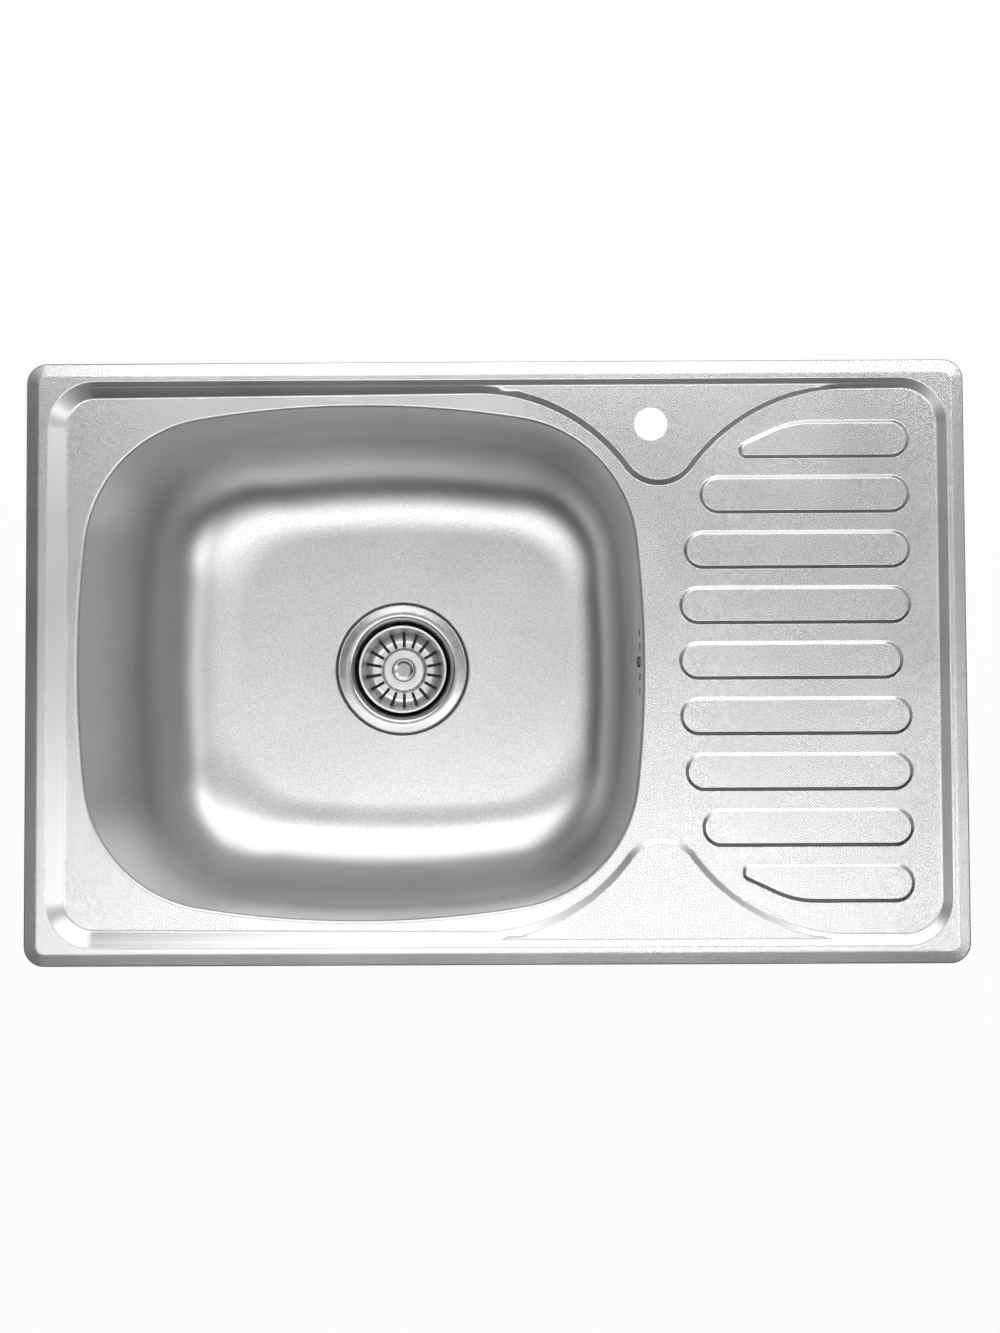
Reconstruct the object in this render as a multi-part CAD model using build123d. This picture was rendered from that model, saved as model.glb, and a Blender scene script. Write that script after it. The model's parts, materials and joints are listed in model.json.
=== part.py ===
from build123d import *
import math
import os

# Stainless steel inset sink with drainer, basket strainer waste, overflow and worktop clips.
# Millimetres. Origin on the worktop under the middle of the outline.
# +X points to the drainer, +Y to the tap and +Z up.

# Sheet, outline and border
SHEET = 0.8
LENGTH = 780.0
WIDTH = 500.0
OUTLINE_CORNER = 17.0
BORDER_TOP = 5.0
BORDER_FALL = 2.4
BORDER_FALL_RUN = 10.5
EDGE_ROUND = 1.6
LIP_GAP = 0.4

# Deck pressed down inside the border
BORDER_LEFT = 18.0
BORDER_RIGHT = 14.0
BORDER_SIDE = 15.0
DECK_CORNER = 39.0
DECK_DEPTH_LEFT = 9.0
DECK_DEPTH_RIGHT = 5.5
PRESS_SLOPE = 32.0
BORDER_ROUND = 3.0
DECK_ROUND = 5.0

# Tap ledge at the back and its mirror image at the front
LEDGE_DEPTH = 3.4
LEDGE_TIP_BLEND = 0.5
LEDGE_LEFT_R = 160.0
LEDGE_NOSE_R = 30.0
LEDGE_RIGHT_R = 165.0
LEDGE_NOSE_OUT = 14.7
LEDGE_REACH = 84.0
LEDGE_ROUND = 2.0
LEDGE_ROOT = 5.0
TAP_HOLE_R = 14.0
TAP_OUT = 8.0
TAP_FORWARD = 38.0

# Drainer pads, with their distances from the bowl listed from the middle pad outwards
DRAINER_LENGTH = 254.0
PAD_SIDE_MARGIN = 35.0
PAD_GAP = 14.0
PAD_HEIGHT = 1.9
PAD_ROUND = 1.6
PAD_END_FLAT = 1.0
PAD_END_MARGIN = 31.0
PAD_MIDDLE_END_MARGIN = 38.0
PAD_STARTS = (30.0, 30.5, 34.5, 48.0)
LAST_PAD_START = 81.0
LAST_PAD_SLANT = 43.0
LAST_PAD_TIP = 12.0
LAST_PAD_TIP_R = 6.0
LAST_PAD_SHOULDER_R = 80.0

# Bowl, which fills the deck up to the drainer
BOWL_LEFT_MARGIN = 24.0
BOWL_SIDE_MARGIN = 22.0
BOWL_DEPTH = 180.0
BOWL_CORNER = 113.0
BOWL_LONG_SIDE_R = 830.0
BOWL_SHORT_SIDE_R = 900.0
BOWL_LIP = 3.5
FLOOR_CORNER = 66.0
LEFT_DRAFT = 17.0
RIGHT_DRAFT = 3.0
SIDE_DRAFT = 4.0
LEFT_BOTTOM_R = 95.0
RIGHT_BOTTOM_R = 52.0
SIDE_BOTTOM_R = 88.0
BOWL_WALL_SECTIONS = 5
BOWL_BOTTOM_SECTIONS = 9

# Strainer seat in the bowl floor
DRAIN_OFFSET = 28.5
DRAIN_Y = 0.0
SEAT_GAP = 1.5
SEAT_FLARE = 2.0
SEAT_DEPTH = 4.0
SEAT_ROUND = 1.8
DRAIN_HOLE_GAP = 3.3

# Strainer waste
CUP_SHEET = 0.9
CUP_R = 40.8
THROAT_FLARE = 3.8
FLANGE_WIDTH = 11.4
FLANGE_FALL = 1.1
FLANGE_FALL_RUN = 6.0
CUP_TAPER = 1.0
CUP_THROAT = 8.0
CUP_DEPTH = 47.0
CUP_ROUNDS = (10.0, 6.5, 6.0, 6.0)
CUP_SEAL_T = 2.0
CUP_SEAL_WIDTH = 5.0
LOWER_SEAL_T = 3.0
LOWER_SEAL_WIDTH = 10.0
SEAL_INSET = 1.0
SEAL_PLAY = 0.1
CUP_PORTS = 4
CUP_PORT_MARGIN = 1.4
CUP_PORT_WIDTH = 7.0
CUP_PORT_TURN = 50.0
BODY_GAP = 2.5
BODY_WALL = 2.6
BODY_FLANGE_T = 4.0
BODY_FLANGE_WIDTH = 12.0
BODY_FLOOR_GAP = 5.7
BODY_CONE = 13.0
BODY_ROUNDS = (1.0, 8.0, 6.0)
OUTLET_R = 23.9
OUTLET_LENGTH = 36.0
BOSS_R = 9.0
BOSS_GAP = 2.6
BOSS_LENGTH = 11.0
BOSS_RIBS = 4
RIB_T = 3.0
RIB_HEIGHT = 8.0
RIB_DROP = 1.0
RIB_ROOT = 0.5
INSERT_R = 5.5
CLAMP_SCREW_R = 3.0
CLAMP_HEAD_R = 8.0
CLAMP_SCREW_PROUD = 2.0
SOCKET_DEPTH = 10.0
SOCKET_FLOOR = 1.0

# Lift-out basket, shown pushed down on its stopper
BASKET_SHEET = 0.6
BASKET_CLEARANCE = 1.8
BASKET_RIM = 2.5
BASKET_TAPER = 4.5
BASKET_RIM_DROP = 6.0
BASKET_ROUNDS = (1.5, 8.0, 1.0, 2.5)
STOPPER_GAP = 0.3
STOPPER_T = 3.0
STOPPER_LAP = 2.4
STOPPER_HOLE_GAP = 1.6
HUB_INSET = 1.4
HUB_TAPER = 1.0
HUB_CLEARANCE = 0.9
BASKET_SLOTS = 18
BASKET_SLOT_WIDTH = 2.7
BASKET_SLOT_RISE = 16.0
BASKET_SLOT_START = 1.0
KNOB_R = 12.0
KNOB_FOOT_R = 7.2
KNOB_CROWN_R = 9.0
KNOB_CROWN_HEIGHT = 2.0
KNOB_HEIGHT = 6.0
KNOB_DISH = 1.2
KNOB_DISH_R = 6.0
KNOB_ROUNDS = (2.0, 1.5)
STEM_R = 3.0
STEM_END_GAP = 1.0

# Overflow in the bowl wall beside the drainer
OVERFLOW_DROP = 24.0
OVERFLOW_SLOT_WIDTH = 7.0
OVERFLOW_SLOT_HEIGHT = 13.0
OVERFLOW_SLOT_PITCH = 12.5
GASKET_T = 3.0
COLLECTOR_LENGTH = 66.0
COLLECTOR_HEIGHT = 28.0
COLLECTOR_DEPTH = 34.0
COLLECTOR_WALL = 2.2
COLLECTOR_RIM = 4.4
COLLECTOR_ROUND = 6.0
COLLECTOR_INNER_ROUND = 4.0
COLLECTOR_BOSS_R = 5.5
COLLECTOR_BOSS_GAP = 0.6
OVERFLOW_INSERT_R = 3.5
OVERFLOW_INSERT_LENGTH = 12.0
OVERFLOW_SCREW_R = 2.0
OVERFLOW_SCREW_GRIP = 8.4
OVERFLOW_HEAD_R = 4.6
OVERFLOW_HEAD_T = 2.2
OVERFLOW_HEAD_ROUND = 1.1
CROSS_DEPTH = 1.1
PIPE_R = 10.0
PIPE_WALL = 2.0
PIPE_BEND = 35.0
SOCKET_R_GAP = 0.15
SPIGOT_WALL = 2.85
SPIGOT_LENGTH = 22.0
SOCKET_LENGTH = 16.0
PIPE_END_GAP = 1.0
BRANCH_RISE = 19.8
BRANCH_LENGTH = 30.0
NUT_R = 17.5
NUT_SIDES = 8
NUT_GRIP = 11.0
NUT_LIP = 3.0
RING_T = 4.0

# Rim seal, sound pad and worktop clips
RIM_SEAL_INSET = 3.0
RIM_SEAL_BACK_GAP = 0.5
SOUND_PAD_END_MARGIN = 20.0
SOUND_PAD_SIDE_MARGIN = 22.0
SOUND_PAD_T = 2.5
SOUND_PAD_ROUND = 20.0
SOUND_PAD_CLEARANCE = 6.0
CLIP_END = 130.0
CLIP_SHEET = 1.5
CLIP_LEG_GAP = 0.7
CLIP_LENGTH = 30.0
CLIP_REACH = 34.0
CLIP_SHELF = 14.0
CLIP_SCREW_R = 2.95
CLIP_SCREW_OUT = 8.0
CLIP_SCREW_ABOVE = 6.0
CLIP_NUT_R = 5.5
CLIP_NUT_T = 4.5
CLIP_HEAD_R = 6.0
CLIP_HEAD_T = 4.0
CLAW_SHEET = 2.0
CLAW_GAP = 3.0
CLAW_WIDTH = 16.0
CLAW_ARM = 40.0
CLAW_TOOTH = 6.0
DRIVE_SLOT = 1.2

# Clearances, and how far a cutter or a hidden core runs past what it meets
PRESS_FIT_GAP = 0.02
RUNNING_GAP = 0.05
SCREW_PLAY = 0.4
CUT_MARGIN = 2.0
DIE_MARGIN = 20.0
DIE_INSET = 4.5
LEVEL_TOLERANCE = 0.01
UPWARD = 0.9

# Levels and slopes that follow from these sizes
FLOOR = BORDER_TOP - BOWL_DEPTH
SLOPE_TAN = math.tan(math.radians(PRESS_SLOPE))
SLOPE_SIN = math.sin(math.radians(PRESS_SLOPE))
DECK_LEFT_X = -LENGTH / 2 + BORDER_LEFT
DECK_RIGHT_X = LENGTH / 2 - BORDER_RIGHT
DECK_HALF_WIDTH = WIDTH / 2 - BORDER_SIDE
DECK_RISE = (DECK_DEPTH_LEFT - DECK_DEPTH_RIGHT) / (DECK_RIGHT_X - DECK_LEFT_X)
LEDGE_TOP = BORDER_TOP - LEDGE_DEPTH
BOWL_LEFT = DECK_LEFT_X + BOWL_LEFT_MARGIN
BOWL_RIGHT = DECK_RIGHT_X - DRAINER_LENGTH
BOWL_HALF_WIDTH = DECK_HALF_WIDTH - BOWL_SIDE_MARGIN
LEDGE_NOSE_X = BOWL_RIGHT + LEDGE_NOSE_OUT
LEDGE_NOSE_Y = DECK_HALF_WIDTH - LEDGE_REACH + LEDGE_NOSE_R
TAP_X = BOWL_RIGHT + TAP_OUT
TAP_Y = DECK_HALF_WIDTH - TAP_FORWARD
PAD_PITCH = (DECK_HALF_WIDTH - PAD_SIDE_MARGIN + PAD_GAP / 2) / (len(PAD_STARTS) + 0.5)
PAD_WIDTH = PAD_PITCH - PAD_GAP
PAD_RIGHT = DECK_RIGHT_X - PAD_END_MARGIN
DRAIN_X = (BOWL_LEFT + BOWL_RIGHT) / 2 + DRAIN_OFFSET
FLANGE_FLAT_R = CUP_R + THROAT_FLARE
FLANGE_R = FLANGE_FLAT_R + FLANGE_WIDTH
FLANGE_CROWN_R = FLANGE_R - FLANGE_FALL_RUN
SEAT_R = FLANGE_R + SEAT_GAP
SEAT_TOP_R = SEAT_R + SEAT_FLARE
DRAIN_HOLE_R = CUP_R + CUP_SHEET + DRAIN_HOLE_GAP
SEAT_FLOOR = FLOOR - SEAT_DEPTH
CUP_TOP = SEAT_FLOOR + CUP_SEAL_T + CUP_SHEET
CUP_FLOOR = CUP_TOP - CUP_DEPTH
BODY_TOP = SEAT_FLOOR - SHEET - LOWER_SEAL_T
BODY_R = CUP_R + CUP_SHEET + BODY_GAP
BODY_FLANGE_R = DRAIN_HOLE_R + BODY_FLANGE_WIDTH
BODY_FLOOR = CUP_FLOOR - BODY_FLOOR_GAP
BOSS_TOP = CUP_FLOOR - CUP_SHEET - BOSS_GAP
CLAMP_HEAD_HEIGHT = SOCKET_FLOOR + SOCKET_DEPTH
STOPPER_HOLE_R = CLAMP_HEAD_R + STOPPER_HOLE_GAP
CUP_PORT_R = STOPPER_HOLE_R + CUP_PORT_MARGIN + CUP_PORT_WIDTH / 2
STOPPER_R = CUP_PORT_R + CUP_PORT_WIDTH / 2 + STOPPER_LAP
HUB_R = STOPPER_R - HUB_INSET
BASKET_R = CUP_R - BASKET_CLEARANCE
BASKET_WALL_R = BASKET_R - BASKET_RIM
BASKET_FLOOR_R = BASKET_WALL_R - BASKET_TAPER
BASKET_FLOOR = CUP_FLOOR + STOPPER_GAP + STOPPER_T + BASKET_SHEET
HUB_TOP = CUP_FLOOR + CLAMP_HEAD_HEIGHT + HUB_CLEARANCE + BASKET_SHEET
BRANCH_LEVEL = BODY_FLOOR + BRANCH_RISE
SPIGOT_R = PIPE_R + SOCKET_R_GAP + SPIGOT_WALL
DIE_BOTTOM = SEAT_FLOOR - DIE_MARGIN


def deck_level(x):
    return BORDER_TOP - DECK_DEPTH_LEFT + (x - DECK_LEFT_X) * DECK_RISE


DECK_PLANE = Plane(
    origin=(0, 0, deck_level(0)),
    x_dir=(1, 0, DECK_RISE),
    z_dir=(-DECK_RISE, 0, 1),
)
BOWL_EDGE = deck_level((BOWL_LEFT + BOWL_RIGHT) / 2)


def rounded_face(x_low, x_high, half_width, corner, level):
    outline = RectangleRounded(x_high - x_low, 2 * half_width, corner)
    return Pos((x_low + x_high) / 2, 0, level) * outline


def outline_face(inset, level):
    return rounded_face(
        -LENGTH / 2 + inset, LENGTH / 2 - inset, WIDTH / 2 - inset, OUTLINE_CORNER - inset, level
    )


def edges_at(solid, level):
    return solid.edges().filter_by_position(Axis.Z, level - LEVEL_TOLERANCE, level + LEVEL_TOLERANCE)


# The volume under the border, whose outer part falls to a turned-down edge
def border_block(shift, foot):
    fall = math.atan2(BORDER_FALL, BORDER_FALL_RUN)
    top_inset = BORDER_FALL_RUN + shift * math.tan(fall / 2)
    edge_level = BORDER_TOP - BORDER_FALL + shift * (math.tan(fall) - 1 / math.cos(fall))
    top = loft([outline_face(shift, edge_level), outline_face(top_inset, BORDER_TOP - shift)], ruled=True)
    skirt = extrude(outline_face(shift, foot), edge_level - foot)
    block = skirt + top
    return fillet(edges_at(block, edge_level), EDGE_ROUND - shift)


def deck_recess(shift):
    def section(level):
        inset = (BORDER_TOP - level) / SLOPE_TAN - shift / SLOPE_SIN
        return rounded_face(
            DECK_LEFT_X + inset, DECK_RIGHT_X - inset, DECK_HALF_WIDTH - inset, DECK_CORNER - inset, level
        )

    lowest = BORDER_TOP - DECK_DEPTH_LEFT - CUT_MARGIN
    dish = loft([section(lowest), section(BORDER_TOP + CUT_MARGIN)], ruled=True)
    above = Box(2 * LENGTH, 2 * WIDTH, WIDTH, align=(Align.CENTER, Align.CENTER, Align.MIN))
    return dish & (DECK_PLANE * Pos(0, 0, -shift) * above)


# Edge of a ledge: a hollow arc, the round nose under the tap hole and another hollow arc, all tangent
def ledge_face(grow, level):
    crest = DECK_HALF_WIDTH - LEDGE_DEPTH / SLOPE_TAN + LEDGE_TIP_BLEND
    left_y = crest - LEDGE_LEFT_R
    right_y = crest - LEDGE_RIGHT_R
    left_x = LEDGE_NOSE_X - math.sqrt((LEDGE_LEFT_R + LEDGE_NOSE_R) ** 2 - (LEDGE_NOSE_Y - left_y) ** 2)
    right_x = LEDGE_NOSE_X + math.sqrt((LEDGE_RIGHT_R + LEDGE_NOSE_R) ** 2 - (LEDGE_NOSE_Y - right_y) ** 2)
    left_turn = math.degrees(math.atan2(LEDGE_NOSE_Y - left_y, LEDGE_NOSE_X - left_x))
    right_turn = math.degrees(math.atan2(LEDGE_NOSE_Y - right_y, right_x - LEDGE_NOSE_X))
    left_arc = CenterArc((left_x, left_y), LEDGE_LEFT_R - grow, 90, left_turn - 90)
    nose_arc = CenterArc(
        (LEDGE_NOSE_X, LEDGE_NOSE_Y), LEDGE_NOSE_R + grow, 180 + left_turn, 180 - left_turn - right_turn
    )
    right_arc = CenterArc((right_x, right_y), LEDGE_RIGHT_R - grow, 180 - right_turn, right_turn - 90)
    back_y = DECK_HALF_WIDTH + LEDGE_ROOT
    back = Polyline(right_arc @ 1, (right_x, back_y), (left_x, back_y), left_arc @ 0)
    return Pos(0, 0, level) * make_face([left_arc, nose_arc, right_arc, back])


def ledge(shift):
    def section(level):
        return ledge_face((LEDGE_TOP - level) / SLOPE_TAN - shift / SLOPE_SIN, level)

    solid = loft([section(BORDER_TOP - DECK_DEPTH_LEFT), section(LEDGE_TOP - shift)], ruled=True)
    crest = edges_at(solid, LEDGE_TOP - shift).filter_by(GeomType.CIRCLE)
    return fillet(crest, LEDGE_ROUND - shift)


# Foot outlines of the drainer pads, drawn on the deck
def pad_outlines():
    for row in range(1 - len(PAD_STARTS), len(PAD_STARTS)):
        left = BOWL_RIGHT + PAD_STARTS[abs(row)]
        right = PAD_RIGHT if row else DECK_RIGHT_X - PAD_MIDDLE_END_MARGIN
        yield Pos((left + right) / 2, row * PAD_PITCH) * SlotOverall(right - left, PAD_WIDTH)
    inner = len(PAD_STARTS) * PAD_PITCH - PAD_WIDTH / 2
    outer = inner + PAD_WIDTH
    left = BOWL_RIGHT + LAST_PAD_START
    corners = [
        (left, inner),
        (PAD_RIGHT, inner),
        (PAD_RIGHT, outer),
        (left + LAST_PAD_SLANT, outer),
        (left, inner + LAST_PAD_TIP),
    ]
    end_round = (PAD_WIDTH - PAD_END_FLAT) / 2
    rounds = [LAST_PAD_TIP_R, end_round, end_round, LAST_PAD_SHOULDER_R, LAST_PAD_TIP_R]
    last = make_face(FilletPolyline(*corners, radius=rounds, close=True))
    yield last
    yield mirror(last, about=Plane.XZ)


def pads(shift):
    foot = -PAD_HEIGHT
    top = PAD_HEIGHT - shift
    for outline in pad_outlines():
        sections = []
        for height in (foot, top):
            inset = height / SLOPE_TAN + shift / SLOPE_SIN
            sections.append(DECK_PLANE * Pos(0, 0, height) * offset(outline, -inset))
        pad = loft(sections, ruled=True)
        yield fillet(pad.faces().sort_by(Axis.Z)[-1].edges(), PAD_ROUND - shift)


# How far a bowl wall has come in at a level, for a straight drafted wall that runs into a round bottom
def wall_run(level, draft, bottom_r, shift):
    angle = math.radians(draft)
    centre_level = FLOOR + bottom_r
    centre_run = (BOWL_EDGE - centre_level) * math.tan(angle) + bottom_r / math.cos(angle)
    radius = bottom_r + shift
    if level > centre_level - radius * math.sin(angle):
        return (BOWL_EDGE - level) * math.tan(angle) - shift / math.cos(angle)
    below = min(centre_level - level, radius)
    return centre_run - math.sqrt(radius**2 - below**2)


# Bowl outline: two long and two short bowed sides with tangent corner arcs
def bowl_face(left, right, half_width, corner, level):
    half_length = (right - left) / 2
    long_y = half_width - BOWL_LONG_SIDE_R
    short_x = half_length - BOWL_SHORT_SIDE_R
    long_reach = BOWL_LONG_SIDE_R - corner
    short_reach = BOWL_SHORT_SIDE_R - corner
    span = math.hypot(short_x, long_y)
    along = (long_reach**2 - short_reach**2 + span**2) / (2 * span)
    across = math.sqrt(long_reach**2 - along**2)
    corner_x = (along * short_x - across * long_y) / span
    corner_y = long_y - (along * long_y + across * short_x) / span
    long_turn = math.degrees(math.atan2(corner_y - long_y, corner_x))
    short_turn = math.degrees(math.atan2(corner_y, corner_x - short_x))
    corner_turn = long_turn - short_turn
    arcs = [
        CenterArc((-short_x, 0), BOWL_SHORT_SIDE_R, 180 - short_turn, 2 * short_turn),
        CenterArc((-corner_x, -corner_y), corner, 180 + short_turn, corner_turn),
        CenterArc((0, -long_y), BOWL_LONG_SIDE_R, 180 + long_turn, 180 - 2 * long_turn),
        CenterArc((corner_x, -corner_y), corner, -long_turn, corner_turn),
        CenterArc((short_x, 0), BOWL_SHORT_SIDE_R, -short_turn, 2 * short_turn),
        CenterArc((corner_x, corner_y), corner, short_turn, corner_turn),
        CenterArc((0, long_y), BOWL_LONG_SIDE_R, long_turn, 180 - 2 * long_turn),
        CenterArc((-corner_x, corner_y), corner, 180 - long_turn, corner_turn),
    ]
    return Pos((left + right) / 2, 0, level) * make_face(arcs)


def bowl(shift):
    floor = FLOOR - shift
    deepest = max(LEFT_BOTTOM_R, RIGHT_BOTTOM_R, SIDE_BOTTOM_R)
    wall_step = (BORDER_TOP - FLOOR - deepest) / BOWL_WALL_SECTIONS
    turn_step = math.pi / 2 / BOWL_BOTTOM_SECTIONS
    levels = [BORDER_TOP - index * wall_step for index in range(BOWL_WALL_SECTIONS + 1)]
    for index in range(1, BOWL_BOTTOM_SECTIONS + 1):
        levels.append(floor + (deepest + shift) * (1 - math.sin(index * turn_step)))
    side_end = wall_run(floor, SIDE_DRAFT, SIDE_BOTTOM_R, shift)
    sections = []
    for level in levels:
        side = wall_run(level, SIDE_DRAFT, SIDE_BOTTOM_R, shift)
        sections.append(
            bowl_face(
                BOWL_LEFT + wall_run(level, LEFT_DRAFT, LEFT_BOTTOM_R, shift),
                BOWL_RIGHT - wall_run(level, RIGHT_DRAFT, RIGHT_BOTTOM_R, shift),
                BOWL_HALF_WIDTH - side,
                BOWL_CORNER - (BOWL_CORNER - FLOOR_CORNER) * side / side_end,
                level,
            )
        )
    return loft(sections)


# The deck's own flat: the largest level face above the bowl's half depth
def deck_flat(solid):
    flats = solid.faces().filter_by(GeomType.PLANE)
    flats = flats.filter_by(lambda face: face.center().Z > FLOOR / 2 and face.normal_at().Z > UPWARD)
    return max(flats, key=lambda face: face.area)


# Everything under the sheet's upper face, with that face moved inwards by shift
def die(shift):
    core = extrude(outline_face(DIE_INSET, DIE_BOTTOM), LIP_GAP + SHEET - DIE_BOTTOM)
    form = border_block(shift, LIP_GAP) + core
    form -= deck_recess(shift)
    border = form.faces().filter_by(Axis.Z).sort_by(Axis.Z)[-1]
    form = fillet(border.inner_wires()[0].edges(), BORDER_ROUND - shift)
    form = fillet(deck_flat(form).outer_wire().edges(), DECK_ROUND + shift)
    back_ledge = ledge(shift)
    form += [back_ledge, mirror(back_ledge, about=Plane.XZ)]
    form += list(pads(shift))
    form -= bowl(shift)
    rims = deck_flat(form).inner_wires()
    form = fillet(max(rims, key=lambda wire: wire.length).edges(), BOWL_LIP - shift)
    return seat_pressed(form, shift)


# The stepped seat for the strainer flange, with both its edges rounded
def seat_pressed(form, shift):
    flare = SEAT_FLARE / SEAT_DEPTH
    low = SEAT_FLOOR - shift
    height = FLOOR + CUT_MARGIN - low
    cone = Cone(
        SEAT_R + shift,
        SEAT_R + shift + flare * height,
        height,
        align=(Align.CENTER, Align.CENTER, Align.MIN),
    )
    form -= Pos(DRAIN_X, DRAIN_Y, low) * cone
    upper = edges_at(form, FLOOR - shift).filter_by(GeomType.CIRCLE)
    form = fillet(upper.filter_by(lambda edge: edge.radius < SEAT_TOP_R + CUT_MARGIN), SEAT_ROUND - shift)
    return fillet(edges_at(form, low).filter_by(GeomType.CIRCLE), SEAT_ROUND + shift)


def overflow_plane():
    level = BOWL_EDGE - OVERFLOW_DROP
    wall_x = BOWL_RIGHT - wall_run(level, RIGHT_DRAFT, RIGHT_BOTTOM_R, 0)
    angle = math.radians(RIGHT_DRAFT)
    return Plane(
        origin=(wall_x, 0, level), x_dir=(0, 1, 0), z_dir=(math.cos(angle), 0, -math.sin(angle))
    )


def overflow_places():
    for step in (-2, -1, 1, 2):
        yield Pos(step * OVERFLOW_SLOT_PITCH, 0)


def sink_pressing():
    sheet = die(0) - die(SHEET)
    sheet -= Pos(TAP_X, TAP_Y, LEDGE_TOP) * Cylinder(TAP_HOLE_R, 2 * (SHEET + CUT_MARGIN))
    sheet -= Pos(DRAIN_X, DRAIN_Y, SEAT_FLOOR) * Cylinder(DRAIN_HOLE_R, 2 * (SHEET + CUT_MARGIN))
    slot = SlotOverall(OVERFLOW_SLOT_HEIGHT, OVERFLOW_SLOT_WIDTH, rotation=90)
    holes = [place * slot for place in overflow_places()]
    holes.append(Circle(OVERFLOW_SCREW_R + SCREW_PLAY))
    for hole in holes:
        sheet -= extrude(overflow_plane() * hole, SHEET + CUT_MARGIN, both=True)
    return sheet


# A ring or turned piece around the waste's axis, from a face drawn as radius and level
def turned(face):
    return Pos(DRAIN_X, DRAIN_Y, 0) * revolve(Plane.XZ * face, Axis.Z)


def ring(inner, outer, low, high):
    face = Pos(inner, low) * Rectangle(outer - inner, high - low, align=Align.MIN)
    return turned(face)


# A sheet of even thickness whose upper face follows rounded points, from the outer edge inwards
def sheet_profile(points, rounds, thickness):
    upper = FilletPolyline(*points, radius=rounds)
    return make_face(offset(upper, thickness, side=Side.LEFT, closed=True))


def strainer_cup():
    points = [
        (FLANGE_R, CUP_TOP - FLANGE_FALL),
        (FLANGE_CROWN_R, CUP_TOP),
        (FLANGE_FLAT_R, CUP_TOP),
        (CUP_R, CUP_TOP - CUP_THROAT),
        (CUP_R - CUP_TAPER, CUP_FLOOR),
        (CLAMP_SCREW_R + SCREW_PLAY, CUP_FLOOR),
    ]
    cup = turned(sheet_profile(points, CUP_ROUNDS, CUP_SHEET))
    step = 360 / CUP_PORTS
    for index in range(CUP_PORTS):
        arc = CenterArc((0, 0), CUP_PORT_R, index * step, CUP_PORT_TURN)
        port = Pos(DRAIN_X, DRAIN_Y, CUP_FLOOR) * SlotArc(arc, CUP_PORT_WIDTH)
        cup -= extrude(port, CUP_SHEET + CUT_MARGIN, both=True)
    return cup


# The ring under the flange, whose top follows the flange's fall
def cup_seal():
    inner = FLANGE_CROWN_R - SEAL_INSET
    outer = inner + CUP_SEAL_WIDTH
    top = SEAT_FLOOR + CUP_SEAL_T - SEAL_PLAY
    fall = FLANGE_FALL * (outer - FLANGE_CROWN_R) / FLANGE_FALL_RUN
    points = [
        (inner, SEAT_FLOOR),
        (outer, SEAT_FLOOR),
        (outer, top - fall),
        (FLANGE_CROWN_R, top),
        (inner, top),
    ]
    return turned(make_face(Polyline(*points, close=True)))


def lower_seal():
    inner = DRAIN_HOLE_R + SEAL_INSET
    return ring(inner, inner + LOWER_SEAL_WIDTH, BODY_TOP, BODY_TOP + LOWER_SEAL_T)


def waste_body():
    bore = OUTLET_R - BODY_WALL
    outlet_top = BODY_FLOOR - BODY_CONE
    points = [
        (BODY_FLANGE_R, BODY_TOP),
        (BODY_R, BODY_TOP),
        (BODY_R, BODY_FLOOR),
        (bore, outlet_top),
        (bore, outlet_top - OUTLET_LENGTH),
    ]
    body = turned(sheet_profile(points, BODY_ROUNDS, BODY_WALL))
    body += ring(BODY_R + BODY_WALL / 2, BODY_FLANGE_R, BODY_TOP - BODY_FLANGE_T, BODY_TOP)
    axis = Pos(DRAIN_X, DRAIN_Y, 0)
    low = (Align.CENTER, Align.CENTER, Align.MAX)
    boss = Cylinder(BOSS_R, BOSS_LENGTH, align=low)
    body += axis * Pos(0, 0, BOSS_TOP) * boss
    hollow = Polyline(
        (0, BODY_TOP),
        (BODY_R + RIB_ROOT, BODY_TOP),
        (BODY_R + RIB_ROOT, BODY_FLOOR),
        (bore + RIB_ROOT, outlet_top),
        (0, outlet_top),
        close=True,
    )
    rib = Box(BODY_FLANGE_R, RIB_T, RIB_HEIGHT, align=(Align.MIN, Align.CENTER, Align.MAX))
    for index in range(BOSS_RIBS):
        turn = Rot(0, 0, (index + 0.5) * 360 / BOSS_RIBS)
        body += (axis * turn * Pos(0, 0, BOSS_TOP - RIB_DROP) * rib) & turned(make_face(hollow))
    insert_hole = Cylinder(INSERT_R + PRESS_FIT_GAP, 2 * (BOSS_LENGTH + CUT_MARGIN))
    body -= axis * Pos(0, 0, BOSS_TOP) * insert_hole
    along = Plane(origin=(DRAIN_X, DRAIN_Y, BRANCH_LEVEL), x_dir=(0, 1, 0), z_dir=(1, 0, 0))
    tip = BODY_R + BODY_WALL + BRANCH_LENGTH
    root = BODY_R + BODY_WALL / 2
    body += extrude(along.offset(root) * Circle(SPIGOT_R), tip - root)
    body -= extrude(along.offset(tip) * Circle(PIPE_R + SOCKET_R_GAP), -SOCKET_LENGTH)
    body -= extrude(along.offset(tip) * Circle(PIPE_R - PIPE_WALL), BODY_R - CUT_MARGIN - tip)
    return body


def waste_insert():
    bore = CLAMP_SCREW_R + RUNNING_GAP
    return ring(bore, INSERT_R, BOSS_TOP - BOSS_LENGTH, BOSS_TOP)


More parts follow.
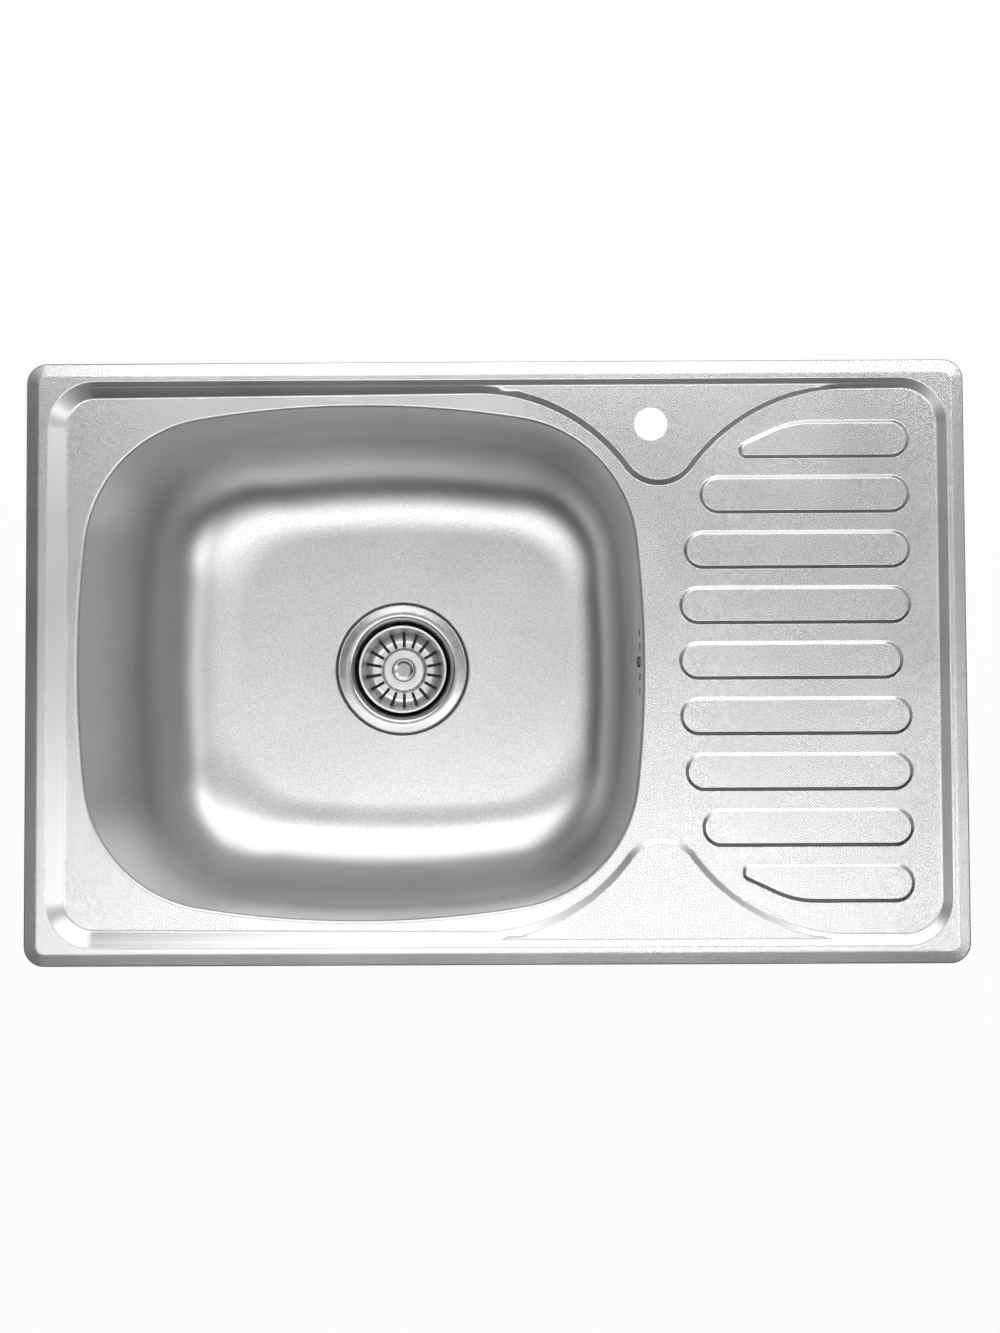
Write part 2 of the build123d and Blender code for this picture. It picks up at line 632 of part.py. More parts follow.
def clamp_screw():
    up = (Align.CENTER, Align.CENTER, Align.MIN)
    down = (Align.CENTER, Align.CENTER, Align.MAX)
    head = extrude(RegularPolygon(CLAMP_HEAD_R, 6), CLAMP_HEAD_HEIGHT)
    reach = CUP_FLOOR - BOSS_TOP + BOSS_LENGTH + CLAMP_SCREW_PROUD
    shank = Cylinder(CLAMP_SCREW_R, reach, align=down)
    bottom = CLAMP_HEAD_HEIGHT - SOCKET_DEPTH
    socket = Pos(0, 0, bottom) * Cylinder(STEM_R + RUNNING_GAP, SOCKET_DEPTH, align=up)
    return Pos(DRAIN_X, DRAIN_Y, CUP_FLOOR) * (head + shank - socket)


def strainer_basket():
    rim = CUP_TOP - BASKET_RIM_DROP
    points = [
        (BASKET_R, rim),
        (BASKET_WALL_R, rim),
        (BASKET_FLOOR_R, BASKET_FLOOR),
        (HUB_R + HUB_TAPER, BASKET_FLOOR),
        (HUB_R, HUB_TOP),
        (STEM_R + PRESS_FIT_GAP, HUB_TOP),
    ]
    basket = turned(sheet_profile(points, BASKET_ROUNDS, BASKET_SHEET))
    inner = HUB_R + HUB_TAPER + BASKET_SLOT_START
    slot = Box(
        BASKET_WALL_R - inner,
        BASKET_SLOT_WIDTH,
        BASKET_SLOT_RISE + CUT_MARGIN,
        align=(Align.MIN, Align.CENTER, Align.MIN),
    )
    for index in range(BASKET_SLOTS):
        turn = Rot(0, 0, 90 + index * 360 / BASKET_SLOTS)
        basket -= Pos(DRAIN_X, DRAIN_Y, BASKET_FLOOR - CUT_MARGIN) * turn * Pos(inner, 0, 0) * slot
    return basket


def basket_stopper():
    low = CUP_FLOOR + STOPPER_GAP
    return ring(STOPPER_HOLE_R, STOPPER_R, low, low + STOPPER_T)


def basket_knob():
    top = HUB_TOP + KNOB_HEIGHT
    tip = CUP_FLOOR + SOCKET_FLOOR + STEM_END_GAP
    side = FilletPolyline(
        (KNOB_FOOT_R, HUB_TOP),
        (KNOB_R, top - KNOB_CROWN_HEIGHT),
        (KNOB_CROWN_R, top),
        (KNOB_DISH_R, top - KNOB_DISH),
        radius=KNOB_ROUNDS,
    )
    core = Polyline(side @ 1, (0, top - KNOB_DISH), (0, tip), (STEM_R, tip), (STEM_R, HUB_TOP), side @ 0)
    return turned(make_face([side, core]))


def collector_outline():
    return RectangleRounded(COLLECTOR_LENGTH, COLLECTOR_HEIGHT, COLLECTOR_ROUND)


def collector_mouth():
    length = COLLECTOR_LENGTH - 2 * COLLECTOR_RIM
    return RectangleRounded(length, COLLECTOR_HEIGHT - 2 * COLLECTOR_RIM, COLLECTOR_INNER_ROUND)


def overflow_gasket():
    frame = collector_outline() - collector_mouth()
    gasket = extrude(overflow_plane() * frame, SHEET + GASKET_T)
    return gasket - bowl(SHEET + PRESS_FIT_GAP)


def pipe_x():
    return overflow_plane().origin.X + SHEET + GASKET_T + COLLECTOR_DEPTH / 2


def spigot_end():
    return overflow_plane().origin.Z - COLLECTOR_HEIGHT / 2 - SPIGOT_LENGTH


def branch_tip():
    return DRAIN_X + BODY_R + BODY_WALL + BRANCH_LENGTH


def overflow_collector():
    front = overflow_plane().offset(SHEET + GASKET_T)
    box = extrude(front * collector_outline(), COLLECTOR_DEPTH)
    box -= extrude(front * collector_mouth(), COLLECTOR_DEPTH - COLLECTOR_WALL)
    boss_start = overflow_plane().offset(SHEET + COLLECTOR_BOSS_GAP)
    boss_length = GASKET_T - COLLECTOR_BOSS_GAP + COLLECTOR_DEPTH - COLLECTOR_WALL / 2
    box += extrude(boss_start * Circle(COLLECTOR_BOSS_R), boss_length)
    insert_hole = Circle(OVERFLOW_INSERT_R + PRESS_FIT_GAP)
    box -= extrude(boss_start * insert_hole, OVERFLOW_INSERT_LENGTH)
    spigot = Plane(origin=(pipe_x(), 0, spigot_end()))
    box += extrude(spigot * Circle(SPIGOT_R), SPIGOT_LENGTH + COLLECTOR_RIM / 2)
    box -= extrude(spigot * Circle(PIPE_R + SOCKET_R_GAP), SOCKET_LENGTH)
    box -= extrude(spigot * Circle(PIPE_R - PIPE_WALL), SPIGOT_LENGTH + COLLECTOR_HEIGHT / 2)
    return box


def overflow_insert():
    face = Circle(OVERFLOW_INSERT_R) - Circle(OVERFLOW_SCREW_R + RUNNING_GAP)
    return extrude(overflow_plane().offset(SHEET + COLLECTOR_BOSS_GAP) * face, OVERFLOW_INSERT_LENGTH)


def overflow_screw():
    seat = overflow_plane().offset(-RUNNING_GAP)
    head = extrude(seat * Circle(OVERFLOW_HEAD_R), -OVERFLOW_HEAD_T)
    head = fillet(head.edges().sort_by(Axis.X)[0], OVERFLOW_HEAD_ROUND)
    crown = overflow_plane().offset(-RUNNING_GAP - OVERFLOW_HEAD_T)
    for turn in (0, 90):
        cross = Rectangle(OVERFLOW_HEAD_R, DRIVE_SLOT, rotation=turn)
        head -= extrude(crown * cross, CROSS_DEPTH)
    reach = RUNNING_GAP + SHEET + COLLECTOR_BOSS_GAP + OVERFLOW_SCREW_GRIP
    return head + extrude(seat * Circle(OVERFLOW_SCREW_R), reach)


def overflow_pipe():
    top = spigot_end() + SOCKET_LENGTH - PIPE_END_GAP
    branch_end = branch_tip() - SOCKET_LENGTH + PIPE_END_GAP
    path = FilletPolyline(
        (pipe_x(), 0, top),
        (pipe_x(), 0, BRANCH_LEVEL),
        (branch_end, 0, BRANCH_LEVEL),
        radius=PIPE_BEND,
    )
    section = Circle(PIPE_R) - Circle(PIPE_R - PIPE_WALL)
    return sweep(Plane(origin=path @ 0, z_dir=path % 0) * section, path)


# Where each end of the overflow pipe leaves its socket
def union_planes():
    return {
        "upper": Plane(origin=(pipe_x(), 0, spigot_end()), z_dir=(0, 0, -1)),
        "lower": Plane(origin=(branch_tip(), 0, BRANCH_LEVEL), z_dir=(1, 0, 0)),
    }


def union_nut(plane):
    nut = extrude(RegularPolygon(NUT_R, NUT_SIDES), NUT_GRIP + RING_T + NUT_LIP)
    nut -= extrude(Circle(SPIGOT_R + RUNNING_GAP), NUT_GRIP + RING_T)
    nut -= extrude(Circle(PIPE_R + 2 * SOCKET_R_GAP), NUT_GRIP + RING_T + NUT_LIP)
    return plane * Pos(0, 0, -NUT_GRIP) * nut


def union_ring(plane):
    return plane * extrude(Circle(SPIGOT_R) - Circle(PIPE_R + RUNNING_GAP), RING_T)


def rim_seal():
    face = outline_face(RIM_SEAL_INSET, 0) - outline_face(BORDER_FALL_RUN - RIM_SEAL_BACK_GAP, 0)
    return extrude(face, BORDER_TOP) & border_block(SHEET + PRESS_FIT_GAP, 0)


def sound_pad():
    left = BOWL_LEFT + wall_run(FLOOR, LEFT_DRAFT, LEFT_BOTTOM_R, 0) + SOUND_PAD_END_MARGIN
    right = BOWL_RIGHT - wall_run(FLOOR, RIGHT_DRAFT, RIGHT_BOTTOM_R, 0) - SOUND_PAD_END_MARGIN
    half_width = BOWL_HALF_WIDTH - wall_run(FLOOR, SIDE_DRAFT, SIDE_BOTTOM_R, 0) - SOUND_PAD_SIDE_MARGIN
    face = rounded_face(left, right, half_width, SOUND_PAD_ROUND, FLOOR - SHEET)
    face -= Pos(DRAIN_X, DRAIN_Y, FLOOR - SHEET) * Circle(SEAT_TOP_R + SOUND_PAD_CLEARANCE)
    return extrude(face, -SOUND_PAD_T)


# Clips stand with +X along the sink's edge and +Y outwards
def clip_places():
    for side in (0, 180):
        for x in (CLIP_END - LENGTH / 2, 0, LENGTH / 2 - CLIP_END):
            yield Rot(0, 0, side) * Pos(x, WIDTH / 2, 0)
    for side in (90, -90):
        yield Rot(0, 0, side) * Pos(0, LENGTH / 2, 0)


CLIP_LEG_Y = -BORDER_FALL_RUN - CLIP_LEG_GAP
CLIP_SCREW_Y = CLIP_LEG_Y - CLIP_SCREW_OUT
CLAW_TOP = -CLIP_REACH - CLAW_GAP


def clip_bracket():
    leg = Pos(0, CLIP_LEG_Y, -CLIP_REACH) * Box(
        CLIP_LENGTH,
        CLIP_SHEET,
        CLIP_REACH + BORDER_TOP - SHEET,
        align=(Align.CENTER, Align.MAX, Align.MIN),
    )
    shelf = Pos(0, CLIP_LEG_Y, -CLIP_REACH) * Box(
        CLIP_LENGTH, CLIP_SHELF, CLIP_SHEET, align=(Align.CENTER, Align.MAX, Align.MIN)
    )
    bracket = leg + shelf
    heel = edges_at(bracket, -CLIP_REACH).filter_by(Axis.X).sort_by(Axis.Y)[-1]
    bracket = fillet(heel, CLIP_SHEET)
    screw_axis = Pos(0, CLIP_SCREW_Y, -CLIP_REACH)
    bracket += screw_axis * extrude(RegularPolygon(CLIP_NUT_R, 6), CLIP_SHEET + CLIP_NUT_T)
    bracket -= screw_axis * Cylinder(CLIP_SCREW_R + RUNNING_GAP, 2 * (CLIP_SHEET + CLIP_NUT_T + CUT_MARGIN))
    return bracket


def clip_claw():
    arm = Circle(CLAW_WIDTH / 2)
    arm += Rectangle(CLAW_ARM, CLAW_WIDTH, align=(Align.MIN, Align.CENTER))
    claw = extrude(arm, -CLAW_SHEET)
    tooth = Box(
        CLAW_SHEET,
        CLAW_WIDTH,
        CLAW_SHEET + CLAW_TOOTH,
        align=(Align.MAX, Align.CENTER, Align.MIN),
    )
    claw += Pos(CLAW_ARM, 0, -CLAW_SHEET) * tooth
    claw -= Cylinder(CLIP_SCREW_R + RUNNING_GAP, 2 * (CLAW_SHEET + CUT_MARGIN))
    return Pos(0, CLIP_SCREW_Y, CLAW_TOP) * claw


def clip_screw():
    seat = CLAW_TOP - CLAW_SHEET
    top = -CLIP_REACH + CLIP_SHEET + CLIP_SCREW_ABOVE
    screw = extrude(Circle(CLIP_SCREW_R), top - seat)
    screw += extrude(Circle(CLIP_HEAD_R), -CLIP_HEAD_T)
    screw -= Pos(0, 0, -CLIP_HEAD_T) * Box(2 * CLIP_HEAD_R, DRIVE_SLOT, CLIP_HEAD_T)
    return Pos(0, CLIP_SCREW_Y, seat) * screw


def main():
    os.makedirs("parts", exist_ok=True)
    single = [
        sink_pressing,
        rim_seal,
        sound_pad,
        strainer_cup,
        cup_seal,
        lower_seal,
        waste_body,
        waste_insert,
        clamp_screw,
        strainer_basket,
        basket_stopper,
        basket_knob,
        overflow_gasket,
        overflow_collector,
        overflow_insert,
        overflow_screw,
        overflow_pipe,
    ]
    pieces = {make.__name__: make() for make in single}
    for end, plane in union_planes().items():
        pieces[f"overflow_nut_{end}"] = union_nut(plane)
        pieces[f"overflow_seal_{end}"] = union_ring(plane)
    bracket, claw, screw = clip_bracket(), clip_claw(), clip_screw()
    pieces["clip_brackets"] = Compound([place * bracket for place in clip_places()])
    for number, place in enumerate(clip_places(), 1):
        pieces[f"clip_claw_{number}"] = place * claw
        pieces[f"clip_screw_{number}"] = place * screw
    for name, piece in pieces.items():
        export_step(piece, f"parts/{name}.step")


main()
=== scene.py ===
import json
import math

import bpy
import numpy as np
from mathutils import Euler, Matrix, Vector
from mathutils.geometry import delaunay_2d_cdt


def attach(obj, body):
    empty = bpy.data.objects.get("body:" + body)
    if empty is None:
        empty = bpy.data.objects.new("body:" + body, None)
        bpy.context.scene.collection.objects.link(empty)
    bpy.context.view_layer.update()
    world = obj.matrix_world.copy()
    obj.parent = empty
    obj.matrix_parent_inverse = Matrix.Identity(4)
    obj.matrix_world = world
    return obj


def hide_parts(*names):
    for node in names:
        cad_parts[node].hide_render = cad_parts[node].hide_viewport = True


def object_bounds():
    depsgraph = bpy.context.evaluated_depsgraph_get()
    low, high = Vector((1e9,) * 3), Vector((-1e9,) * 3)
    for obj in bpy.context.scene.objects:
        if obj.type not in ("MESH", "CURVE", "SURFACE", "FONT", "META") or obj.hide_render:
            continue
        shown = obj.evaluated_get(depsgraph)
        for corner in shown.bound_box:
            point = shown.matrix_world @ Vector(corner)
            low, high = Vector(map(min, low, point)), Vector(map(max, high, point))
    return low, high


# Camera, fitted to the outline, the drain and the tap hole in the photograph
LENS_MM, SENSOR_MM = 75.6, 36.0
CAMERA_PLACE = (0.0185, -0.0825, 2.3195)
CAMERA_TURN_DEG = (3.57, 0.375, -0.26)
CAMERA_SHIFT_Y = -0.06
CAMERA_REACH = 60.0

# Floor and studio, in metres
FLOOR_GAP = 0.0007
FLOOR_HALF = 9.0
FLOOR_WHITE, FLOOR_SPREAD, FLOOR_CLOUD_SCALE = 0.86, 0.01, 3.0
FLOOR_GLOW_SHARE = 0.95
FLOOR_CELLS = 8
TENT_R, TENT_SEGMENTS, TENT_RINGS = 1.2, 48, 24

# Level of the tent's light by the angle from straight up, in degrees
# Across runs from the left to the right, and along from the front to the back
LIGHT_ACROSS = (
    (-90, 0.30),
    (-72, 0.14),
    (-62, 0.10),
    (-54, 0.12),
    (-44, 0.20),
    (-30, 0.82),
    (-12, 1.12),
    (0, 1.00),
    (14, 1.02),
    (21, 1.35),
    (26, 0.28),
    (33, 0.25),
    (42, 2.20),
    (50, 0.30),
    (60, 0.12),
    (72, 0.22),
    (90, 0.30),
)
LIGHT_ALONG = (
    (-90, 0.45),
    (-74, 0.40),
    (-62, 0.08),
    (-50, 0.08),
    (-38, 0.35),
    (-28, 1.90),
    (-15, 3.30),
    (-9, 2.00),
    (-4, 1.20),
    (0, 1.00),
    (6, 0.86),
    (12, 0.72),
    (18, 0.60),
    (25, 0.75),
    (33, 3.80),
    (40, 3.60),
    (47, 2.60),
    (56, 2.60),
    (66, 2.60),
    (78, 1.20),
    (90, 0.60),
)

# The drain's axis, about which the turned strainer pieces are brushed
DRAIN_X = -0.0845
DRAIN_Y = 0.0

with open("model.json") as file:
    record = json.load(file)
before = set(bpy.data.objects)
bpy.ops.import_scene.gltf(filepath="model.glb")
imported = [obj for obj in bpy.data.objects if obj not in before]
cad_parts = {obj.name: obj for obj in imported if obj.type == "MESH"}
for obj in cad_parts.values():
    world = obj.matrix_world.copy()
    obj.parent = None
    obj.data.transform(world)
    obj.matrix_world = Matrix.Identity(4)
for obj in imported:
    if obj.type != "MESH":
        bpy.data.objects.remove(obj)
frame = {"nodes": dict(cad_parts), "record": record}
cad_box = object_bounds()

# The range that most of a noise lies in
NOISE_LOW, NOISE_HIGH = 0.3, 0.7


class Nodes:
    """A short way to write a node tree: each call adds nodes and gives their output."""

    def __init__(self, tree):
        self.tree = tree
        tree.nodes.clear()

    def add(self, kind, **settings):
        node = self.tree.nodes.new(kind)
        for name, value in settings.items():
            setattr(node, name, value)
        return node

    def put(self, socket, value):
        """Link an output to a socket, or set the socket's own value."""
        if isinstance(value, bpy.types.NodeSocket):
            self.tree.links.new(value, socket)
        elif value is not None:
            socket.default_value = value

    def math(self, operation, first, second=None, third=None):
        node = self.add("ShaderNodeMath", operation=operation)
        self.put(node.inputs[0], first)
        self.put(node.inputs[1], second)
        self.put(node.inputs[2], third)
        return node.outputs[0]

    def remap(self, value, low, high, out_low=0.0, out_high=1.0):
        node = self.add("ShaderNodeMapRange", interpolation_type="SMOOTHSTEP")
        self.put(node.inputs["Value"], value)
        self.put(node.inputs["From Min"], low)
        self.put(node.inputs["From Max"], high)
        self.put(node.inputs["To Min"], out_low)
        self.put(node.inputs["To Max"], out_high)
        return node.outputs["Result"]

    def spread(self, noise, out_low=0.0, out_high=1.0):
        """A noise stretched to run between two values."""
        return self.remap(noise, NOISE_LOW, NOISE_HIGH, out_low, out_high)

    def point(self):
        """Object coordinates, in metres in the shared frame."""
        return self.add("ShaderNodeTexCoord").outputs["Object"]

    def parts(self, vector):
        node = self.add("ShaderNodeSeparateXYZ")
        self.put(node.inputs[0], vector)
        return node.outputs

    def noise(self, point, scale, detail=2.0, roughness=0.5):
        node = self.add("ShaderNodeTexNoise")
        self.put(node.inputs["Vector"], point)
        self.put(node.inputs["Scale"], scale)
        self.put(node.inputs["Detail"], detail)
        self.put(node.inputs["Roughness"], roughness)
        return node.outputs["Fac"]

    def wave(self, length, pitch, shift=0.0):
        return self.math("SINE", self.math("MULTIPLY_ADD", length, 2 * math.pi / pitch, shift))

    def blend(self, share, first, second):
        node = self.add("ShaderNodeMix", data_type="RGBA")
        self.put(node.inputs["Factor"], share)
        self.put(node.inputs["A"], first)
        self.put(node.inputs["B"], second)
        return node.outputs["Result"]

    def even_gray(self, level):
        """A colour with the same level in each channel."""
        node = self.add("ShaderNodeCombineColor")
        for channel in range(3):
            self.put(node.inputs[channel], level)
        return node.outputs[0]

    def bump(self, height, distance):
        node = self.add("ShaderNodeBump")
        self.put(node.inputs["Distance"], distance)
        self.put(node.inputs["Height"], height)
        return node.outputs["Normal"]

    def surface(self, **inputs):
        shader = self.add("ShaderNodeBsdfPrincipled")
        for name, value in inputs.items():
            self.put(shader.inputs[name.replace("_", " ").title().replace("Ior", "IOR")], value)
        self.finish(shader.outputs[0])

    def finish(self, shader):
        output = self.add("ShaderNodeOutputMaterial")
        self.put(output.inputs["Surface"], shader)


def material(name):
    made = bpy.data.materials.new(name)
    made.use_nodes = True
    return made, Nodes(made.node_tree)


def gray(level, warm=0.0):
    return (level + warm, level, level - warm, 1.0)


# Sheet steel of the pressing: a fine embossed linen on flat ground, and a drawn satin on the bowl's walls,
# whose colour is lightened as painted light
SHEET_LEVEL, SHEET_SPREAD, SHEET_ROUGH = 0.51, 0.02, (0.285, 0.31)
PATCH_SCALE, GRAIN_SCALE, GRAIN_SHARE = 9.0, 1400.0, 0.15
LINEN_PITCH, LINEN_DEPTH, LINEN_SPECK = 0.0023, 0.00004, 0.42
WANDER_SCALE, WANDER = 60.0, 2.2
UNEVEN_SCALE, UNEVEN_SHARE = 1150.0, 0.42

# The linen is weaker in the bowl, below these heights in metres
LINEN_BOWL_HEIGHT, LINEN_DECK_HEIGHT, LINEN_BOWL_SHARE = -0.12, -0.06, 0.55

# How far a face points up, from 0 on a wall to 1 on level ground, where linen, satin and the painted light on
# walls begin and end
LINEN_FROM, LINEN_FULL = 0.86, 0.985
SATIN_FULL, SATIN_FROM, WALL_ROUGH = 0.60, 0.85, 0.10
# Painted light: the colour of steep walls is raised by up to the last of these, standing in for their
# brighter reflections
PAINTED_LIGHT_FULL, PAINTED_LIGHT_FROM, WALL_PAINTED_LIGHT = 0.15, 0.50, 0.26


def sheet_steel():
    made, n = material("sink_steel_linen")
    point = n.point()
    x, y, z = n.parts(point)
    normal = n.add("ShaderNodeNewGeometry").outputs["True Normal"]
    upward = n.math("ABSOLUTE", n.parts(normal)[2])
    flat = n.remap(upward, LINEN_FROM, LINEN_FULL)
    turn = n.math("MULTIPLY", n.noise(point, WANDER_SCALE), WANDER)
    weave = n.math("MULTIPLY", n.wave(x, LINEN_PITCH, turn), n.wave(y, LINEN_PITCH, turn))
    uneven = n.spread(n.noise(point, UNEVEN_SCALE, 1.0), -1.0, 1.0)
    linen = n.math("MULTIPLY_ADD", uneven, UNEVEN_SHARE, n.math("MULTIPLY", weave, 1 - UNEVEN_SHARE))
    share = n.remap(z, LINEN_BOWL_HEIGHT, LINEN_DECK_HEIGHT, LINEN_BOWL_SHARE, 1.0)
    linen = n.math("MULTIPLY", linen, n.math("MULTIPLY", flat, share))
    grain = n.math("MULTIPLY", n.noise(point, GRAIN_SCALE, 1.0), flat)
    height = n.math("MULTIPLY_ADD", grain, GRAIN_SHARE, linen)
    patch = n.noise(point, PATCH_SCALE, 3.0)
    shade = n.spread(patch, SHEET_LEVEL - SHEET_SPREAD, SHEET_LEVEL + SHEET_SPREAD)
    # Painted light: steep faces get a lighter colour, standing in for the brighter reflections on the bowl's
    # walls
    shade = n.math("ADD", shade, n.remap(upward, PAINTED_LIGHT_FULL, PAINTED_LIGHT_FROM, WALL_PAINTED_LIGHT, 0.0))
    satin = n.remap(upward, SATIN_FULL, SATIN_FROM, WALL_ROUGH, 0.0)
    n.surface(
        base_color=n.even_gray(n.math("MULTIPLY_ADD", linen, LINEN_SPECK, shade)),
        metallic=1.0,
        roughness=n.math("ADD", n.spread(patch, *SHEET_ROUGH), satin),
        normal=n.bump(height, LINEN_DEPTH),
    )
    return made


# Bright steel of the strainer, with the heights in metres between which painted shade darkens the cup towards
# the bottom
BRIGHT_LEVEL, BRIGHT_ROUGH = 0.40, (0.15, 0.23)
BASKET_LEVEL, BASKET_ROUGH, BASKET_METAL = 0.62, (0.28, 0.32), 0.8
# Painted shade: the cup's colour deep in the waste
CUP_PAINTED_SHADE_LEVEL = 0.03
PAINTED_SHADE_HEIGHT, PAINTED_SHADE_END_HEIGHT = -0.212, -0.194
TURNED_PITCH, TURNED_DEPTH = 0.0007, 0.000004
SMEAR_SCALE, SMEAR_STAIN = 130.0, (0.94, 1.04)
SMEAR_LOW, SMEAR_HIGH = 0.25, 0.75


def turned_steel(name, top_level, shaded_level, metal=1.0, rough=BRIGHT_ROUGH):
    """Bright steel turned about the drain's axis, which can darken to a lower level deep in the waste as
    painted shade.
    """
    made, n = material(name)
    point = n.point()
    x, y, z = n.parts(point)
    across = n.math("SUBTRACT", x, DRAIN_X)
    along = n.math("SUBTRACT", y, DRAIN_Y)
    radius = n.math("SQRT", n.math("ADD", n.math("POWER", across, 2.0), n.math("POWER", along, 2.0)))
    smear = n.noise(point, SMEAR_SCALE, 3.0)
    # Painted shade: the colour darkens towards the bottom of the waste, where shadow falls; only the cup is
    # given a darker level
    level = n.remap(z, PAINTED_SHADE_HEIGHT, PAINTED_SHADE_END_HEIGHT, shaded_level, top_level)
    n.surface(
        base_color=n.even_gray(n.math("MULTIPLY", level, n.spread(smear, *SMEAR_STAIN))),
        metallic=metal,
        roughness=n.remap(smear, SMEAR_LOW, SMEAR_HIGH, *rough),
        normal=n.bump(n.wave(radius, TURNED_PITCH), TURNED_DEPTH),
    )
    return made


def shaded_screw_steel():
    """Dull steel for the overflow's screw, with a dark colour that is painted shade."""
    stain_scale = 420.0
    made, n = material("bright_steel_painted_shade")
    stain = n.noise(n.point(), stain_scale, 3.0)
    # Painted shade: the screw head's colour is kept dark so that it reads as a shaded dash
    n.surface(
        base_color=n.blend(n.spread(stain), gray(0.10), gray(0.15)),
        metallic=1.0,
        roughness=n.spread(stain, 0.45, 0.55),
    )
    return made


def plated_steel():
    """Zinc with a fine spangle, as on the clips."""
    spangle_scale, spangle_depth, dull_scale = 260.0, 0.00002, 240.0
    made, n = material("clip_steel_zinc")
    point = n.point()
    cell = n.add("ShaderNodeTexVoronoi", feature="F1")
    n.put(cell.inputs["Vector"], point)
    n.put(cell.inputs["Scale"], spangle_scale)
    spangle = n.remap(cell.outputs["Distance"], 0.1, 0.8)
    n.surface(
        base_color=n.blend(spangle, gray(0.56, -0.008), gray(0.66, -0.004)),
        metallic=1.0,
        roughness=n.spread(n.noise(point, dull_scale), 0.32, 0.46),
        normal=n.bump(spangle, spangle_depth),
    )
    return made


def brass():
    """Brass with the fine lines of a lathe around its upright axis."""
    line_pitch, line_depth, stain_scale = 0.0006, 0.00001, 180.0
    brown, yellow = (0.70, 0.50, 0.22, 1.0), (0.78, 0.58, 0.28, 1.0)
    made, n = material("brass_turned")
    point = n.point()
    height = n.parts(point)[2]
    stain = n.spread(n.noise(point, stain_scale, 3.0))
    n.surface(
        base_color=n.blend(stain, brown, yellow),
        metallic=1.0,
        roughness=n.remap(stain, 0.0, 1.0, 0.34, 0.24),
        normal=n.bump(n.wave(height, line_pitch), line_depth),
    )
    return made


def soft_stuff(name, dark, light, scale, depth, rough):
    """A matt sheet or moulding with a grain: rubber, foam and felt differ in colour, grain and depth."""
    grain_share, cloud_size = 0.7, 25.0
    made, n = material(name)
    point = n.point()
    grain = n.noise(point, scale, 4.0, 0.65)
    cloud = n.math("MULTIPLY", n.noise(point, scale / cloud_size), 1 - grain_share)
    share = n.math("MULTIPLY_ADD", grain, grain_share, cloud)
    n.surface(
        base_color=n.blend(n.spread(share), dark, light),
        roughness=n.spread(grain, *rough),
        normal=n.bump(grain, depth),
    )
    return made


def moulded_plastic(name, dark, light):
    peel_scale, peel_depth, cloud_scale = 900.0, 0.00003, 22.0
    made, n = material(name)
    point = n.point()
    cloud = n.noise(point, cloud_scale)
    n.surface(
        base_color=n.blend(n.spread(cloud), dark, light),
        roughness=n.spread(cloud, 0.34, 0.44),
        normal=n.bump(n.noise(point, peel_scale), peel_depth),
        ior=1.49,
    )
    return made


finishes = {
    "sink_steel": sheet_steel(),
    "bright_steel": turned_steel("bright_steel_turned", BRIGHT_LEVEL, BRIGHT_LEVEL),
    "clip_steel": plated_steel(),
    "brass": brass(),
    "black_rubber": soft_stuff("black_rubber_matt", gray(0.018), gray(0.032), 1500.0, 0.00004, (0.55, 0.72)),
    "seal_foam": soft_stuff("seal_foam_cells", gray(0.045), gray(0.095), 1900.0, 0.0002, (0.82, 0.95)),
    "sound_felt": soft_stuff("sound_felt_matt", gray(0.10), gray(0.19), 1100.0, 0.0003, (0.85, 0.97)),
    "waste_plastic": moulded_plastic("waste_plastic_white", gray(0.70, 0.008), gray(0.76, 0.008)),
    "pipe_plastic": moulded_plastic("pipe_plastic_pale", gray(0.60, 0.004), gray(0.66, 0.004)),
}
own_finishes = {
    "strainer_cup": turned_steel("bright_steel_cup", BRIGHT_LEVEL, CUP_PAINTED_SHADE_LEVEL),
    "strainer_basket": turned_steel(
        "bright_steel_basket", BASKET_LEVEL, BASKET_LEVEL, BASKET_METAL, BASKET_ROUGH
    ),
    "overflow_screw": shaded_screw_steel(),
}
slot_of = {entry["node"]: entry["material_slot"] for entry in frame["record"]["subparts"]}
for name, node in frame["nodes"].items():
    node.data.materials.clear()
    node.data.materials.append(own_finishes.get(name, finishes[slot_of[name]]))


# Sink pressing, in millimetres, drawn from the same sizes as its solid
SHEET = 0.8
LENGTH, WIDTH, OUTLINE_CORNER = 780.0, 500.0, 17.0
BORDER_TOP, BORDER_FALL, BORDER_FALL_RUN = 5.0, 2.4, 10.5
FALL_BLEND = 1.2
EDGE_ROUND, LIP_GAP = 1.6, 0.4
DECK_LEFT_X, DECK_RIGHT_X, DECK_HALF_WIDTH, DECK_CORNER = -372.0, 376.0, 235.0, 39.0
DECK_DEPTH_LEFT, DECK_DEPTH_RIGHT = 9.0, 5.5
SLOPE = math.radians(32.0)
BORDER_ROUND, DECK_ROUND = 3.0, 5.0
LEDGE_TOP, LEDGE_ROUND, LEDGE_FOOT, LEDGE_ROOT = 1.6, 2.0, 2.5, 0.7
LEDGE_CREST_Y = 230.06
LEDGE_LEFT_R, LEDGE_NOSE_R, LEDGE_RIGHT_R = 160.0, 30.0, 165.0
LEDGE_NOSE_X, LEDGE_NOSE_Y = 136.7, 181.0
TAP_X, TAP_Y, TAP_HOLE_R = 130.0, 197.0, 14.0
PAD_PITCH, PAD_WIDTH, PAD_HEIGHT, PAD_ROUND, PAD_FOOT = 46.0, 32.0, 1.9, 1.6, 1.6
PAD_LEFTS = (152.0, 152.5, 156.5, 170.0)
PAD_RIGHT, PAD_MIDDLE_RIGHT = 345.0, 338.0
